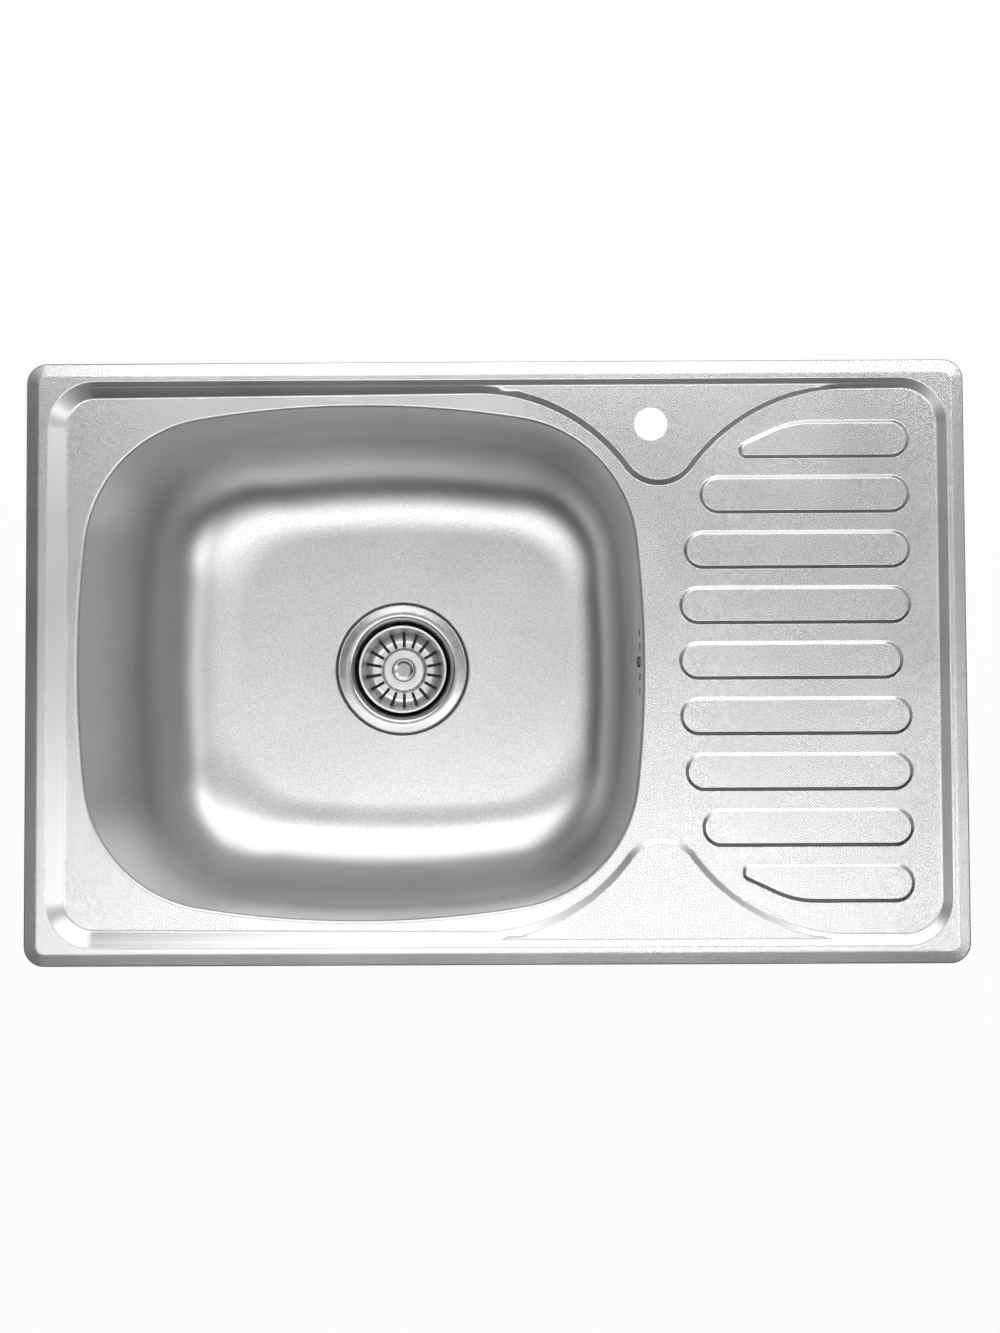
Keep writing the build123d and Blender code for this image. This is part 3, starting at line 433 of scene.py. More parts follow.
LAST_PAD_LEFT, LAST_PAD_SHOULDER_X, LAST_PAD_TIP = 203.0, 246.0, 12.0
LAST_PAD_ROUNDS = (6.0, 15.5, 15.5, 80.0, 6.0)
BOWL_LEFT, BOWL_RIGHT, BOWL_HALF_WIDTH = -348.0, 122.0, 213.0
BOWL_EDGE, FLOOR = -2.79, -175.0
BOWL_CORNER, FLOOR_CORNER = 113.0, 66.0
BOWL_LONG_SIDE_R, BOWL_SHORT_SIDE_R, BOWL_LIP = 830.0, 900.0, 3.5

# Each wall of the bowl: its draft in degrees and its bottom round
LEFT_WALL = (17.0, 95.0)
RIGHT_WALL = (3.0, 52.0)
SIDE_WALL = (4.0, 88.0)

# Strainer seat and overflow slots
SEAT_TOP_R, SEAT_R, SEAT_FLOOR, SEAT_ROUND, DRAIN_HOLE_R = 59.5, 57.5, -179.0, 1.8, 45.0
SLOT_WIDTH, SLOT_HEIGHT, SLOT_PITCH, SLOT_LEVEL, SLOT_SCREW_R = 7.0, 13.0, 12.5, -26.8, 2.4
SLOT_STEPS = (-2, -1, 1, 2)

# Rounded rectangles of the whole outline and of the deck: left, right, half width and corner
OUTLINE = (-LENGTH / 2, LENGTH / 2, WIDTH / 2, OUTLINE_CORNER)
DECK = (DECK_LEFT_X, DECK_RIGHT_X, DECK_HALF_WIDTH, DECK_CORNER)
MM_PER_METRE = 1000
UP = np.array([0.0, 0.0, 1.0])

# How finely the pressing is meshed
SIDE_STEP = 8.0
DECK_STEP = 3.6
CORNER_STEPS = 12
PAD_EDGE_STEPS = 6 * CORNER_STEPS
SHORT_SIDE_STEPS, BOWL_CORNER_STEPS, LONG_SIDE_STEPS = 30, 30, 38
LIP_ROWS, WALL_ROWS, BOTTOM_ROWS, FLOOR_ROWS, ROUND_ROWS = 8, 10, 28, 9, 7
GRID_STEP = 16.0
EDGE_RINGS = 6
LEDGE_STEPS = 62
TAP_STEPS = 48
FOLD_RINGS = np.array([-5, -2.5, -1, -0.5, 0, 0.5, 1, 1.5])
LEDGE_LINE_REACH, LEDGE_LINE_RINGS = 1.2, 7
TAP_RING_PARTS = (10, 3)
TAP_MARGIN, LIP_MARGIN, LIP_RING = 1.0, 0.8, 1.0
LEVEL_NORMAL = 0.99999
SLOPE_REACH, DRAFT_REACH = 0.02, 0.5
LIP_PASSES = 3
MERGE_GAP = 1e-6

# Points of the window around the overflow, between its openings, in half pitches
BETWEEN_SLOTS = (-6, -3, -1, 1, 3, 6)


def deck_level(x):
    rise = (DECK_DEPTH_LEFT - DECK_DEPTH_RIGHT) / (DECK_RIGHT_X - DECK_LEFT_X)
    return BORDER_TOP - DECK_DEPTH_LEFT + (x - DECK_LEFT_X) * rise


def inside_rounded(x, y, low_x, high_x, half_width, corner):
    """Distance inwards from a rounded rectangle."""
    over_x = np.abs(x - (low_x + high_x) / 2) - (high_x - low_x) / 2 + corner
    over_y = np.abs(y) - half_width + corner
    outer = np.hypot(np.maximum(over_x, 0), np.maximum(over_y, 0))
    return corner - outer - np.minimum(np.maximum(over_x, over_y), 0)


def step_down(run, drop, crown_r, foot_r):
    """Height below an upper level at a distance past its edge, for a sloped step with rounded edges."""
    half_tan = math.tan(SLOPE / 2)
    crown_end = crown_r * (math.sin(SLOPE) - half_tan)
    foot_run = drop / math.tan(SLOPE)
    foot_end = foot_run + foot_r * half_tan
    foot_start = foot_end - foot_r * math.sin(SLOPE)
    crown = np.clip(run + crown_r * half_tan, 0, crown_r)
    foot = np.clip(foot_end - run, 0, foot_r)
    crown_height = np.sqrt(crown_r**2 - crown**2) - crown_r
    foot_height = foot_r - drop - np.sqrt(foot_r**2 - foot**2)
    height = np.where(run < crown_end, crown_height, -run * math.tan(SLOPE))
    return np.where(run > foot_start, foot_height, height)


def arc_points(centre, radius, start, sweep, count):
    angles = start + sweep * np.linspace(0, 1, count)
    return np.column_stack([centre[0] + radius * np.cos(angles), centre[1] + radius * np.sin(angles)])


def circle_points(centre, radius, count):
    return arc_points(centre, radius, 0, 2 * math.pi * (1 - 1 / count), count)


def hollow_centre(radius, side):
    """Centre of the hollow arc on one side of a ledge, tangent to its nose."""
    centre_y = LEDGE_CREST_Y - radius
    reach = math.sqrt((radius + LEDGE_NOSE_R) ** 2 - (LEDGE_NOSE_Y - centre_y) ** 2)
    return LEDGE_NOSE_X + side * reach, centre_y


LEDGE_LEFT = hollow_centre(LEDGE_LEFT_R, -1)
LEDGE_RIGHT = hollow_centre(LEDGE_RIGHT_R, 1)


def past_ledge(x, y):
    """Distance outwards from the upper edge of the tap ledge, or of its mirror image."""
    y = np.abs(y)
    nose = np.hypot(x - LEDGE_NOSE_X, y - LEDGE_NOSE_Y) - LEDGE_NOSE_R
    left = LEDGE_LEFT_R - np.hypot(x - LEDGE_LEFT[0], y - LEDGE_LEFT[1])
    right = LEDGE_RIGHT_R - np.hypot(x - LEDGE_RIGHT[0], y - LEDGE_RIGHT[1])
    left = np.where(x < LEDGE_LEFT[0], LEDGE_CREST_Y - y, left)
    right = np.where(x > LEDGE_RIGHT[0], LEDGE_CREST_Y - y, right)
    to_nose = (LEDGE_NOSE_X - LEDGE_LEFT[0], LEDGE_NOSE_Y - LEDGE_LEFT[1])
    in_left = to_nose[0] * (y - LEDGE_LEFT[1]) - to_nose[1] * (x - LEDGE_LEFT[0]) > 0
    to_nose = (LEDGE_NOSE_X - LEDGE_RIGHT[0], LEDGE_NOSE_Y - LEDGE_RIGHT[1])
    in_right = to_nose[0] * (y - LEDGE_RIGHT[1]) - to_nose[1] * (x - LEDGE_RIGHT[0]) < 0
    one_side = np.where(in_left, left, np.where(in_right, right, nose))
    return np.where(in_left & in_right, np.maximum(left, right), one_side)


def filleted(corners, rounds, steps):
    """Points along a convex polygon whose corners are arcs."""
    found = []
    corners = np.array(corners, float)
    for index, radius in enumerate(rounds):
        here = corners[index]
        to_last = unit(corners[index - 1] - here)
        to_next = unit(corners[(index + 1) % len(corners)] - here)
        half = math.acos(float(to_last @ to_next)) / 2
        middle = unit(to_last + to_next)
        centre = here + middle * radius / math.sin(half)
        spread = math.pi / 2 - half
        facing = math.atan2(-middle[1], -middle[0])
        found.append(arc_points(centre, radius, facing - spread, 2 * spread, steps))
    return np.vstack(found)


def last_pad(side, steps):
    inner = len(PAD_LEFTS) * PAD_PITCH - PAD_WIDTH / 2
    outer = inner + PAD_WIDTH
    corners = [
        (LAST_PAD_LEFT, inner),
        (PAD_RIGHT, inner),
        (PAD_RIGHT, outer),
        (LAST_PAD_SHOULDER_X, outer),
        (LAST_PAD_LEFT, inner + LAST_PAD_TIP),
    ]
    outline = filleted(corners, LAST_PAD_ROUNDS, steps)
    return outline if side > 0 else outline[::-1] * (1, -1)


def pad_ends(row):
    """Centres of the two round ends of a pad."""
    left = PAD_LEFTS[abs(row)] + PAD_WIDTH / 2
    right = (PAD_RIGHT if row else PAD_MIDDLE_RIGHT) - PAD_WIDTH / 2
    return left, right


def pad_outline(row):
    if abs(row) == len(PAD_LEFTS):
        return last_pad(row, CORNER_STEPS)
    left, right = pad_ends(row)
    level = row * PAD_PITCH
    ends = [
        arc_points((right, level), PAD_WIDTH / 2, -math.pi / 2, math.pi, 2 * CORNER_STEPS),
        arc_points((left, level), PAD_WIDTH / 2, math.pi / 2, math.pi, 2 * CORNER_STEPS),
    ]
    return np.vstack(ends)


def inside_outline(x, y, outline):
    """Distance inwards from a convex outline that runs anticlockwise, and negative outside it."""
    along = np.roll(outline, -1, axis=0) - outline
    away_x = x[:, None] - outline[:, 0]
    away_y = y[:, None] - outline[:, 1]
    share = np.clip((away_x * along[:, 0] + away_y * along[:, 1]) / (along**2).sum(axis=1), 0, 1)
    gap = np.hypot(away_x - share * along[:, 0], away_y - share * along[:, 1]).min(axis=1)
    within = (along[:, 0] * away_y - along[:, 1] * away_x >= 0).all(axis=1)
    return np.where(within, gap, -gap)


def pad_depth(row, x, y):
    """Distance inwards from the foot of a pad."""
    if abs(row) == len(PAD_LEFTS):
        return inside_outline(x, y, last_pad(row, PAD_EDGE_STEPS))
    left, right = pad_ends(row)
    return PAD_WIDTH / 2 - np.hypot(x - np.clip(x, left, right), y - row * PAD_PITCH)


PAD_ROWS = range(-len(PAD_LEFTS), len(PAD_LEFTS) + 1)
PAD_RUN = PAD_HEIGHT / math.tan(SLOPE)


def upper_height(x, y):
    """Level of the sheet's upper face on the border, deck, ledges and pads."""
    base = deck_level(x)
    inside = inside_rounded(x, y, *DECK)
    wall = BORDER_TOP - base + step_down(inside, BORDER_TOP - base, BORDER_ROUND, DECK_ROUND)
    rise = LEDGE_TOP - base
    ledge = rise + step_down(past_ledge(x, y), rise, LEDGE_ROUND, LEDGE_FOOT)
    near = np.maximum(LEDGE_ROOT - np.abs(wall - ledge), 0) / LEDGE_ROOT
    lower = np.clip(np.minimum(wall, ledge) / LEDGE_ROOT, 0, 1)
    height = base + np.maximum(wall, ledge) + near**2 * LEDGE_ROOT / 4 * lower
    for row in PAD_ROWS:
        close = (x > PAD_LEFTS[0] - PAD_WIDTH) & (np.abs(y - row * PAD_PITCH) < PAD_PITCH / 2)
        if close.any():
            run = PAD_RUN - pad_depth(row, x[close], y[close])
            height[close] += PAD_HEIGHT + step_down(run, PAD_HEIGHT, PAD_ROUND, PAD_FOOT)
    edge = inside_rounded(x, y, *OUTLINE)
    past_fold = BORDER_FALL_RUN - edge
    bend = np.clip(past_fold + FALL_BLEND, 0, 2 * FALL_BLEND) ** 2 / (4 * FALL_BLEND)
    fall = np.where(past_fold > FALL_BLEND, past_fold, bend)
    return height - fall * BORDER_FALL / BORDER_FALL_RUN


def upper_normals(x, y):
    reach = SLOPE_REACH
    slope_x = (upper_height(x + reach, y) - upper_height(x - reach, y)) / (2 * reach)
    slope_y = (upper_height(x, y + reach) - upper_height(x, y - reach)) / (2 * reach)
    return unit(np.column_stack([-slope_x, -slope_y, np.ones(len(x))]))


def unit(vectors):
    return vectors / np.linalg.norm(vectors, axis=-1, keepdims=True)


def rounded_ring(low_x, high_x, half_width, corner, side_step):
    """Points around a rounded rectangle, anticlockwise, with the outward direction at each."""
    mid_x = (low_x + high_x) / 2
    reach_x = (high_x - low_x) / 2 - corner
    reach_y = half_width - corner
    points = []
    outward = []
    for quarter in range(4):
        sign_x = (1, -1, -1, 1)[quarter]
        sign_y = (1, 1, -1, -1)[quarter]
        centre = np.array([mid_x + sign_x * reach_x, sign_y * reach_y])
        angles = (quarter + np.linspace(0, 1, CORNER_STEPS)) * math.pi / 2
        facing = np.column_stack([np.cos(angles), np.sin(angles)])
        points.append(centre + corner * facing)
        outward.append(facing)
        length = 2 * (reach_x if quarter % 2 == 0 else reach_y)
        steps = int(length / side_step)
        ahead = np.array([-facing[-1][1], facing[-1][0]])
        shares = np.arange(1, steps) / steps
        points.append(points[-1][-1] + length * shares[:, None] * ahead)
        outward.append(np.repeat(facing[-1:], steps - 1, axis=0))
    return np.vstack(points), np.vstack(outward)


def wall_run(level, wall):
    """How far a wall of the bowl has come in at a level: straight and drafted, then round at the bottom."""
    angle = math.radians(wall[0])
    radius = wall[1]
    centre_level = FLOOR + radius
    centre_run = (BOWL_EDGE - centre_level) * math.tan(angle) + radius / math.cos(angle)
    below = np.clip(centre_level - level, 0, radius)
    straight = (BOWL_EDGE - level) * math.tan(angle)
    bottom = centre_run - np.sqrt(radius**2 - below**2)
    return np.where(level > centre_level - radius * math.sin(angle), straight, bottom)


# For each column of the bowl, the arc that it is on and its share of the way along that arc
BOWL_STEPS = (SHORT_SIDE_STEPS, BOWL_CORNER_STEPS, LONG_SIDE_STEPS, BOWL_CORNER_STEPS) * 2
BOWL_ARCS = np.repeat(np.arange(len(BOWL_STEPS)), BOWL_STEPS)
BOWL_SHARES = np.concatenate([np.arange(count) / count for count in BOWL_STEPS])
RIGHT_SIDE_ARC = 4


def bowl_points(level):
    """The bowl's outline at each column's level, from four bowed sides and four corner arcs."""
    side = wall_run(level, SIDE_WALL)
    side_end = wall_run(np.array(FLOOR), SIDE_WALL)
    left = BOWL_LEFT + wall_run(level, LEFT_WALL)
    right = BOWL_RIGHT - wall_run(level, RIGHT_WALL)
    corner = BOWL_CORNER - (BOWL_CORNER - FLOOR_CORNER) * side / side_end
    long_y = BOWL_HALF_WIDTH - side - BOWL_LONG_SIDE_R
    short_x = (right - left) / 2 - BOWL_SHORT_SIDE_R
    long_reach = BOWL_LONG_SIDE_R - corner
    short_reach = BOWL_SHORT_SIDE_R - corner
    span = np.hypot(short_x, long_y)
    along = (long_reach**2 - short_reach**2 + span**2) / (2 * span)
    across = np.sqrt(long_reach**2 - along**2)
    corner_x = (along * short_x - across * long_y) / span
    corner_y = long_y - (along * long_y + across * short_x) / span
    long_turn = np.arctan2(corner_y - long_y, corner_x)
    short_turn = np.arctan2(corner_y, corner_x - short_x)
    turn = long_turn - short_turn
    full = math.pi
    zero = np.zeros_like(level)
    short_r = zero + BOWL_SHORT_SIDE_R
    long_r = zero + BOWL_LONG_SIDE_R
    arcs = [
        (-short_x, zero, short_r, full - short_turn, 2 * short_turn),
        (-corner_x, -corner_y, corner, full + short_turn, turn),
        (zero, -long_y, long_r, full + long_turn, full - 2 * long_turn),
        (corner_x, -corner_y, corner, -long_turn, turn),
        (short_x, zero, short_r, -short_turn, 2 * short_turn),
        (corner_x, corner_y, corner, short_turn, turn),
        (zero, long_y, long_r, long_turn, full - 2 * long_turn),
        (-corner_x, corner_y, corner, full - long_turn, turn),
    ]
    centre_x, centre_y, radius, start, sweep = (
        np.choose(BOWL_ARCS, [arc[item] for arc in arcs]) for item in range(5)
    )
    angle = start + BOWL_SHARES * sweep
    facing = np.stack([np.cos(angle), np.sin(angle), np.zeros_like(angle)], axis=-1)
    x = (left + right) / 2 + centre_x + radius * np.cos(angle)
    y = centre_y + radius * np.sin(angle)
    return np.stack([x, y, level], axis=-1), facing


def lip_rows():
    """Rows of the bowl's rounded lip from the deck to the wall, their normals, and the way outwards."""
    level = np.full(len(BOWL_ARCS), BOWL_EDGE)
    for _ in range(LIP_PASSES):
        edge, facing = bowl_points(level)
        level = deck_level(edge[:, 0])
    edge, facing = bowl_points(level)
    above, _ = bowl_points(level + DRAFT_REACH)
    below, _ = bowl_points(level - DRAFT_REACH)
    draft = np.arctan(((above - below) * facing).sum(axis=1) / (2 * DRAFT_REACH))
    turn = math.pi / 2 - draft
    centre = edge + facing * (BOWL_LIP * np.tan(turn / 2))[:, None] - UP * BOWL_LIP
    rows = []
    normals = []
    for index in range(LIP_ROWS + 1):
        angle = (turn * index / LIP_ROWS)[:, None]
        normal = UP * np.cos(angle) - facing * np.sin(angle)
        rows.append(centre + BOWL_LIP * normal)
        normals.append(normal)
    return rows, normals, facing


def row_normals(rows):
    """Normals of stacked rows of points that close on themselves, from the points around each."""
    grid = np.array(rows)
    around = np.roll(grid, -1, axis=1) - np.roll(grid, 1, axis=1)
    down = np.gradient(grid, axis=0)
    return unit(np.cross(around, down))


def bowl_rows():
    """Every row of the bowl from the lip to the drain hole."""
    rows, normals, facing = lip_rows()
    top = rows[-1][:, 2]
    deepest = max(bottom_round for _, bottom_round in (LEFT_WALL, RIGHT_WALL, SIDE_WALL))
    wall_foot = FLOOR + deepest
    wall = []
    for index in range(1, WALL_ROWS + 1):
        wall.append(bowl_points(top + (wall_foot - top) * index / WALL_ROWS)[0])
    for index in range(1, BOTTOM_ROWS + 1):
        angle = math.pi / 2 * index / BOTTOM_ROWS
        level = np.full(len(top), FLOOR + deepest * (1 - math.sin(angle)))
        wall.append(bowl_points(level)[0])
    wall_normals = row_normals([rows[-2], rows[-1]] + wall)[2:]
    wall_normals[-1] = (0, 0, 1)
    rows += wall
    normals += list(wall_normals)
    low_rows, low_normals = floor_rows(rows[-1])
    return rows + low_rows, normals + low_normals, facing


def floor_rows(wall_end):
    """Rows from the end of the bowl's wall over the floor and the strainer's seat to the drain hole."""
    centre = np.array([DRAIN_X, DRAIN_Y, 0]) * MM_PER_METRE
    spoke = (wall_end - centre) * (1, 1, 0)
    spoke_unit = unit(spoke)
    flare = math.atan2(SEAT_TOP_R - SEAT_R, FLOOR - SEAT_FLOOR)
    turn = math.pi / 2 - flare
    tangent = SEAT_ROUND * math.tan(turn / 2)
    seat_start = SEAT_TOP_R + tangent
    reach = np.linalg.norm(spoke, axis=1, keepdims=True)
    flat = np.tile(UP, (len(spoke), 1))
    rows = []
    normals = []
    for index in range(1, FLOOR_ROWS + 1):
        radius = reach + (seat_start - reach) * index / FLOOR_ROWS
        rows.append(centre + spoke_unit * radius + UP * FLOOR)
        normals.append(flat)
    for index in range(1, ROUND_ROWS + 1):
        angle = turn * index / ROUND_ROWS
        radius = seat_start - SEAT_ROUND * math.sin(angle)
        rows.append(centre + spoke_unit * radius + UP * (FLOOR - SEAT_ROUND * (1 - math.cos(angle))))
        normals.append(UP * math.cos(angle) - spoke_unit * math.sin(angle))
    for index in range(ROUND_ROWS + 1):
        angle = turn * (1 - index / ROUND_ROWS)
        radius = SEAT_R - tangent + SEAT_ROUND * math.sin(angle)
        rows.append(centre + spoke_unit * radius + UP * (SEAT_FLOOR + SEAT_ROUND * (1 - math.cos(angle))))
        normals.append(UP * math.cos(angle) - spoke_unit * math.sin(angle))
    rows.append(centre + spoke_unit * DRAIN_HOLE_R + UP * SEAT_FLOOR)
    normals.append(flat)
    return rows, normals


def edge_rows():
    """The outer edge from the border's rounded corner down to the foot of the skirt."""
    fall = math.atan2(BORDER_FALL, BORDER_FALL_RUN)
    turn = math.pi / 2 - fall
    centre_level = BORDER_TOP - BORDER_FALL - EDGE_ROUND * math.tan(turn / 2)
    ring, outward = rounded_ring(*OUTLINE, SIDE_STEP)
    ring = np.column_stack([ring, np.zeros(len(ring))])
    outward = np.column_stack([outward, np.zeros(len(ring))])
    rows = []
    normals = []
    for index in range(ROUND_ROWS + 1):
        angle = turn * (1 - index / ROUND_ROWS)
        normal = outward * math.cos(angle) + UP * math.sin(angle)
        rows.append(ring - outward * EDGE_ROUND + UP * centre_level + normal * EDGE_ROUND)
        normals.append(normal)
    rows.append(ring + UP * LIP_GAP)
    normals.append(outward)
    return rows, normals


def ledge_curve():
    """Points along the upper edge of the tap ledge, with the outward direction at each."""
    nose = (LEDGE_NOSE_X, LEDGE_NOSE_Y)
    left_turn = math.atan2(nose[1] - LEDGE_LEFT[1], nose[0] - LEDGE_LEFT[0])
    right_turn = math.atan2(nose[1] - LEDGE_RIGHT[1], nose[0] - LEDGE_RIGHT[0])
    quarter = math.pi / 2
    arcs = [
        (LEDGE_LEFT, LEDGE_LEFT_R, quarter, left_turn - quarter, -1),
        (nose, LEDGE_NOSE_R, math.pi + left_turn, right_turn - left_turn, 1),
        (LEDGE_RIGHT, LEDGE_RIGHT_R, right_turn, quarter - right_turn, -1),
    ]
    points = []
    outward = []
    for centre, radius, start, sweep, sign in arcs:
        found = arc_points(centre, radius, start, sweep, LEDGE_STEPS)
        points.append(found[1:])
        outward.append(sign * unit(found[1:] - np.array(centre)))
    return np.vstack(points), np.vstack(outward)


def fine_ring(outline):
    """An outline with points added along its straight runs, and the outward direction at each."""
    points = []
    for here, after in zip(outline, np.roll(outline, -1, axis=0)):
        steps = max(1, int(np.linalg.norm(after - here) / SIDE_STEP))
        points.append(here + (after - here) * np.arange(steps)[:, None] / steps)
    points = np.vstack(points)
    along = unit(np.roll(points, -1, axis=0) - np.roll(points, 1, axis=0))
    return points, along[:, ::-1] * (1, -1)


def border_foot(points):
    """How far inside the deck's outline the foot of the border's slope ends."""
    return (BORDER_TOP - deck_level(points[:, :1])) / math.tan(SLOPE) + DECK_ROUND * math.tan(SLOPE / 2)


def deck_rings(lip, facing):
    """Rows of points along every rounded edge of the border and deck, and whether each is closed."""
    half_tan = math.tan(SLOPE / 2)
    bend = math.sin(SLOPE) * np.linspace(0, 1, EDGE_RINGS)
    ring, outward = rounded_ring(*OUTLINE, SIDE_STEP)
    for inset in BORDER_FALL_RUN + FALL_BLEND * FOLD_RINGS:
        yield ring - outward * inset, True
    ring, outward = rounded_ring(*DECK, DECK_STEP)
    ledge_line = (BORDER_TOP - LEDGE_TOP) / math.tan(SLOPE)
    near_line = ledge_line + np.linspace(-LEDGE_LINE_REACH, LEDGE_LINE_REACH, LEDGE_LINE_RINGS)
    for inset in np.concatenate([BORDER_ROUND * (bend - half_tan), near_line]):
        yield ring - outward * inset, True
    for share in bend:
        yield ring - outward * (border_foot(ring) - DECK_ROUND * share), True
    ring, outward = ledge_curve()
    foot = (LEDGE_TOP - deck_level(ring[:, :1])) / math.tan(SLOPE) + LEDGE_FOOT * half_tan
    for share in bend:
        for past in (LEDGE_ROUND * (share - half_tan), foot - LEDGE_FOOT * share):
            rim = ring + outward * past
            depth = inside_rounded(rim[:, 0], rim[:, 1], *DECK)
            rim = rim[depth > border_foot(rim)[:, 0]]
            yield rim, False
            yield rim * (1, -1), False
    for row in PAD_ROWS:
        ring, outward = fine_ring(pad_outline(row))
        for share in bend:
            yield ring - outward * PAD_FOOT * (share - half_tan), True
            yield ring - outward * (PAD_RUN + PAD_ROUND * (half_tan - share)), True
    for part in TAP_RING_PARTS:
        yield tap_ring(TAP_HOLE_R + TAP_HOLE_R / part), True
    for reach in (LIP_RING, BOWL_LIP):
        yield (lip + facing * reach)[:, :2], True


def flat_grid():
    """A wide grid of points on the level ground between the rounded edges."""
    x, y = np.meshgrid(
        np.arange(-LENGTH / 2, LENGTH / 2, GRID_STEP),
        np.arange(-WIDTH / 2, WIDTH / 2, GRID_STEP),
    )
    grid = np.column_stack([x.ravel(), y.ravel()])
    return grid[upper_normals(grid[:, 0], grid[:, 1])[:, 2] > LEVEL_NORMAL]


def deck_points(lip, facing):
    """Points for the mesh of the border and deck, and the edges along its rings."""
    wide_lip = lip[:, :2] + facing[:, :2] * LIP_MARGIN
    found = []
    edges = []
    count = 0
    for ring, closed in [*deck_rings(lip, facing), (flat_grid(), None)]:
        depth = inside_rounded(ring[:, 0], ring[:, 1], *OUTLINE)
        off_tap = np.hypot(ring[:, 0] - TAP_X, ring[:, 1] - TAP_Y) > TAP_HOLE_R + TAP_MARGIN
        kept = (depth > EDGE_ROUND) & off_tap & ~within_loop(ring, wide_lip)
        place = np.cumsum(kept) - 1 + count
        found.append(ring[kept])
        count += int(kept.sum())
        if closed is None:
            continue
        for index in range(len(ring) if closed else len(ring) - 1):
            after = (index + 1) % len(ring)
            if kept[index] and kept[after]:
                edges.append((int(place[index]), int(place[after])))
    return np.vstack(found), edges


def tap_ring(radius):
    return circle_points((TAP_X, TAP_Y), radius, TAP_STEPS)


def within_loop(points, loop):
    """Which points lie inside a closed loop."""
    inside = np.zeros(len(points), bool)
    for here, after in zip(loop, np.roll(loop, -1, axis=0)):
        crosses = (here[1] > points[:, 1]) != (after[1] > points[:, 1])
        rise = after[1] - here[1] if after[1] != here[1] else 1.0
        meets = here[0] + (points[:, 1] - here[1]) * (after[0] - here[0]) / rise
        inside ^= crosses & (points[:, 0] < meets)
    return inside


class Skin:
    """One face of a sheet: points with their normals, and the faces between them."""

    def __init__(self):
        self.points = []
        self.normals = []
        self.faces = []
        self.count = 0

    def add(self, points, normals):
        self.points.append(points)
        self.normals.append(normals)
        self.count += len(points)
        return np.arange(self.count - len(points), self.count)

    def strip(self, outer, inner, skipped=()):
        """Faces between two closed rows that run anticlockwise, seen from above."""
        for index in range(len(outer)):
            after = (index + 1) % len(outer)
            if index not in skipped:
                self.faces.append((outer[index], outer[after], inner[after], inner[index]))

    def fill(self, loops, free, links, place, holes, flip):
        """Triangles between loops of points of the skin, drawn flat. The first loop is the outer one."""
        flat = np.vstack([shape for shape, _ in loops] + [free])
        known = np.concatenate([indices for _, indices in loops])
        edges = []
        first = 0
        for shape, _ in loops:
            count = len(shape)
            edges += [(first + index, first + (index + 1) % count) for index in range(count)]
            first += count
        edges += [(first + start, first + end) for start, end in links]
        made = delaunay_2d_cdt([Vector(point) for point in flat], edges, [], 0, MERGE_GAP)
        corners = np.array([tuple(point) for point in made[0]])
        sources = [found[0] if found else len(known) for found in made[3]]
        spots = corners[[source >= len(known) for source in sources]]
        added = self.add(*place(spots[:, 0], spots[:, 1]))
        index_of = np.empty(len(corners), int)
        fresh = iter(added)
        for corner, source in enumerate(sources):
            index_of[corner] = known[source] if source < len(known) else next(fresh)
        triangles = np.array(made[2])
        middles = corners[triangles].mean(axis=1)
        keep = within_loop(middles, loops[0][0])
        for hole in holes:
            keep &= ~within_loop(middles, hole)
        triangles = index_of[triangles[keep]]
        self.faces += [tuple(triangle) for triangle in (triangles[:, ::-1] if flip else triangles)]


def upper_place(x, y):
    return np.column_stack([x, y, upper_height(x, y)]), upper_normals(x, y)


def right_wall_place(y, level):
    """The bowl's right wall, where the overflow is, from a point's breadth and level."""
    bow = np.sqrt(BOWL_SHORT_SIDE_R**2 - y**2)
    x = BOWL_RIGHT - wall_run(level, RIGHT_WALL) - BOWL_SHORT_SIDE_R + bow
    lean = np.full(len(y), math.tan(math.radians(RIGHT_WALL[0])))
    return np.column_stack([x, y, level]), unit(np.column_stack([-np.ones(len(y)), -y / bow, lean]))


def overflow_loops():
    """Outlines of the overflow's slots and of its screw's hole, as breadth and level."""
    straight = (SLOT_HEIGHT - SLOT_WIDTH) / 2
    for step in SLOT_STEPS:
        ends = []
        for side, start in ((1, 0), (-1, math.pi)):
            centre = (step * SLOT_PITCH, SLOT_LEVEL + side * straight)
            ends.append(arc_points(centre, SLOT_WIDTH / 2, start, math.pi, CORNER_STEPS))
        yield np.vstack(ends)
    yield circle_points((0, SLOT_LEVEL), SLOT_SCREW_R, CORNER_STEPS)


def overflow_window(rows):
    """The columns and rows of the bowl's wall that the overflow's slots lie in."""
    breadth = 2 * SLOT_PITCH + SLOT_WIDTH
    height = SLOT_HEIGHT / 2 + SLOT_WIDTH / 2
    middle = rows[LIP_ROWS + 1]
    columns = np.flatnonzero((BOWL_ARCS == RIGHT_SIDE_ARC) & (np.abs(middle[:, 1]) < breadth))
    column = columns[len(columns) // 2]
    levels = np.array([row[column, 2] for row in rows])
    first = np.flatnonzero(levels > SLOT_LEVEL + height)[-1]
    last = np.flatnonzero(levels < SLOT_LEVEL - height)[0]
    return columns, first, last


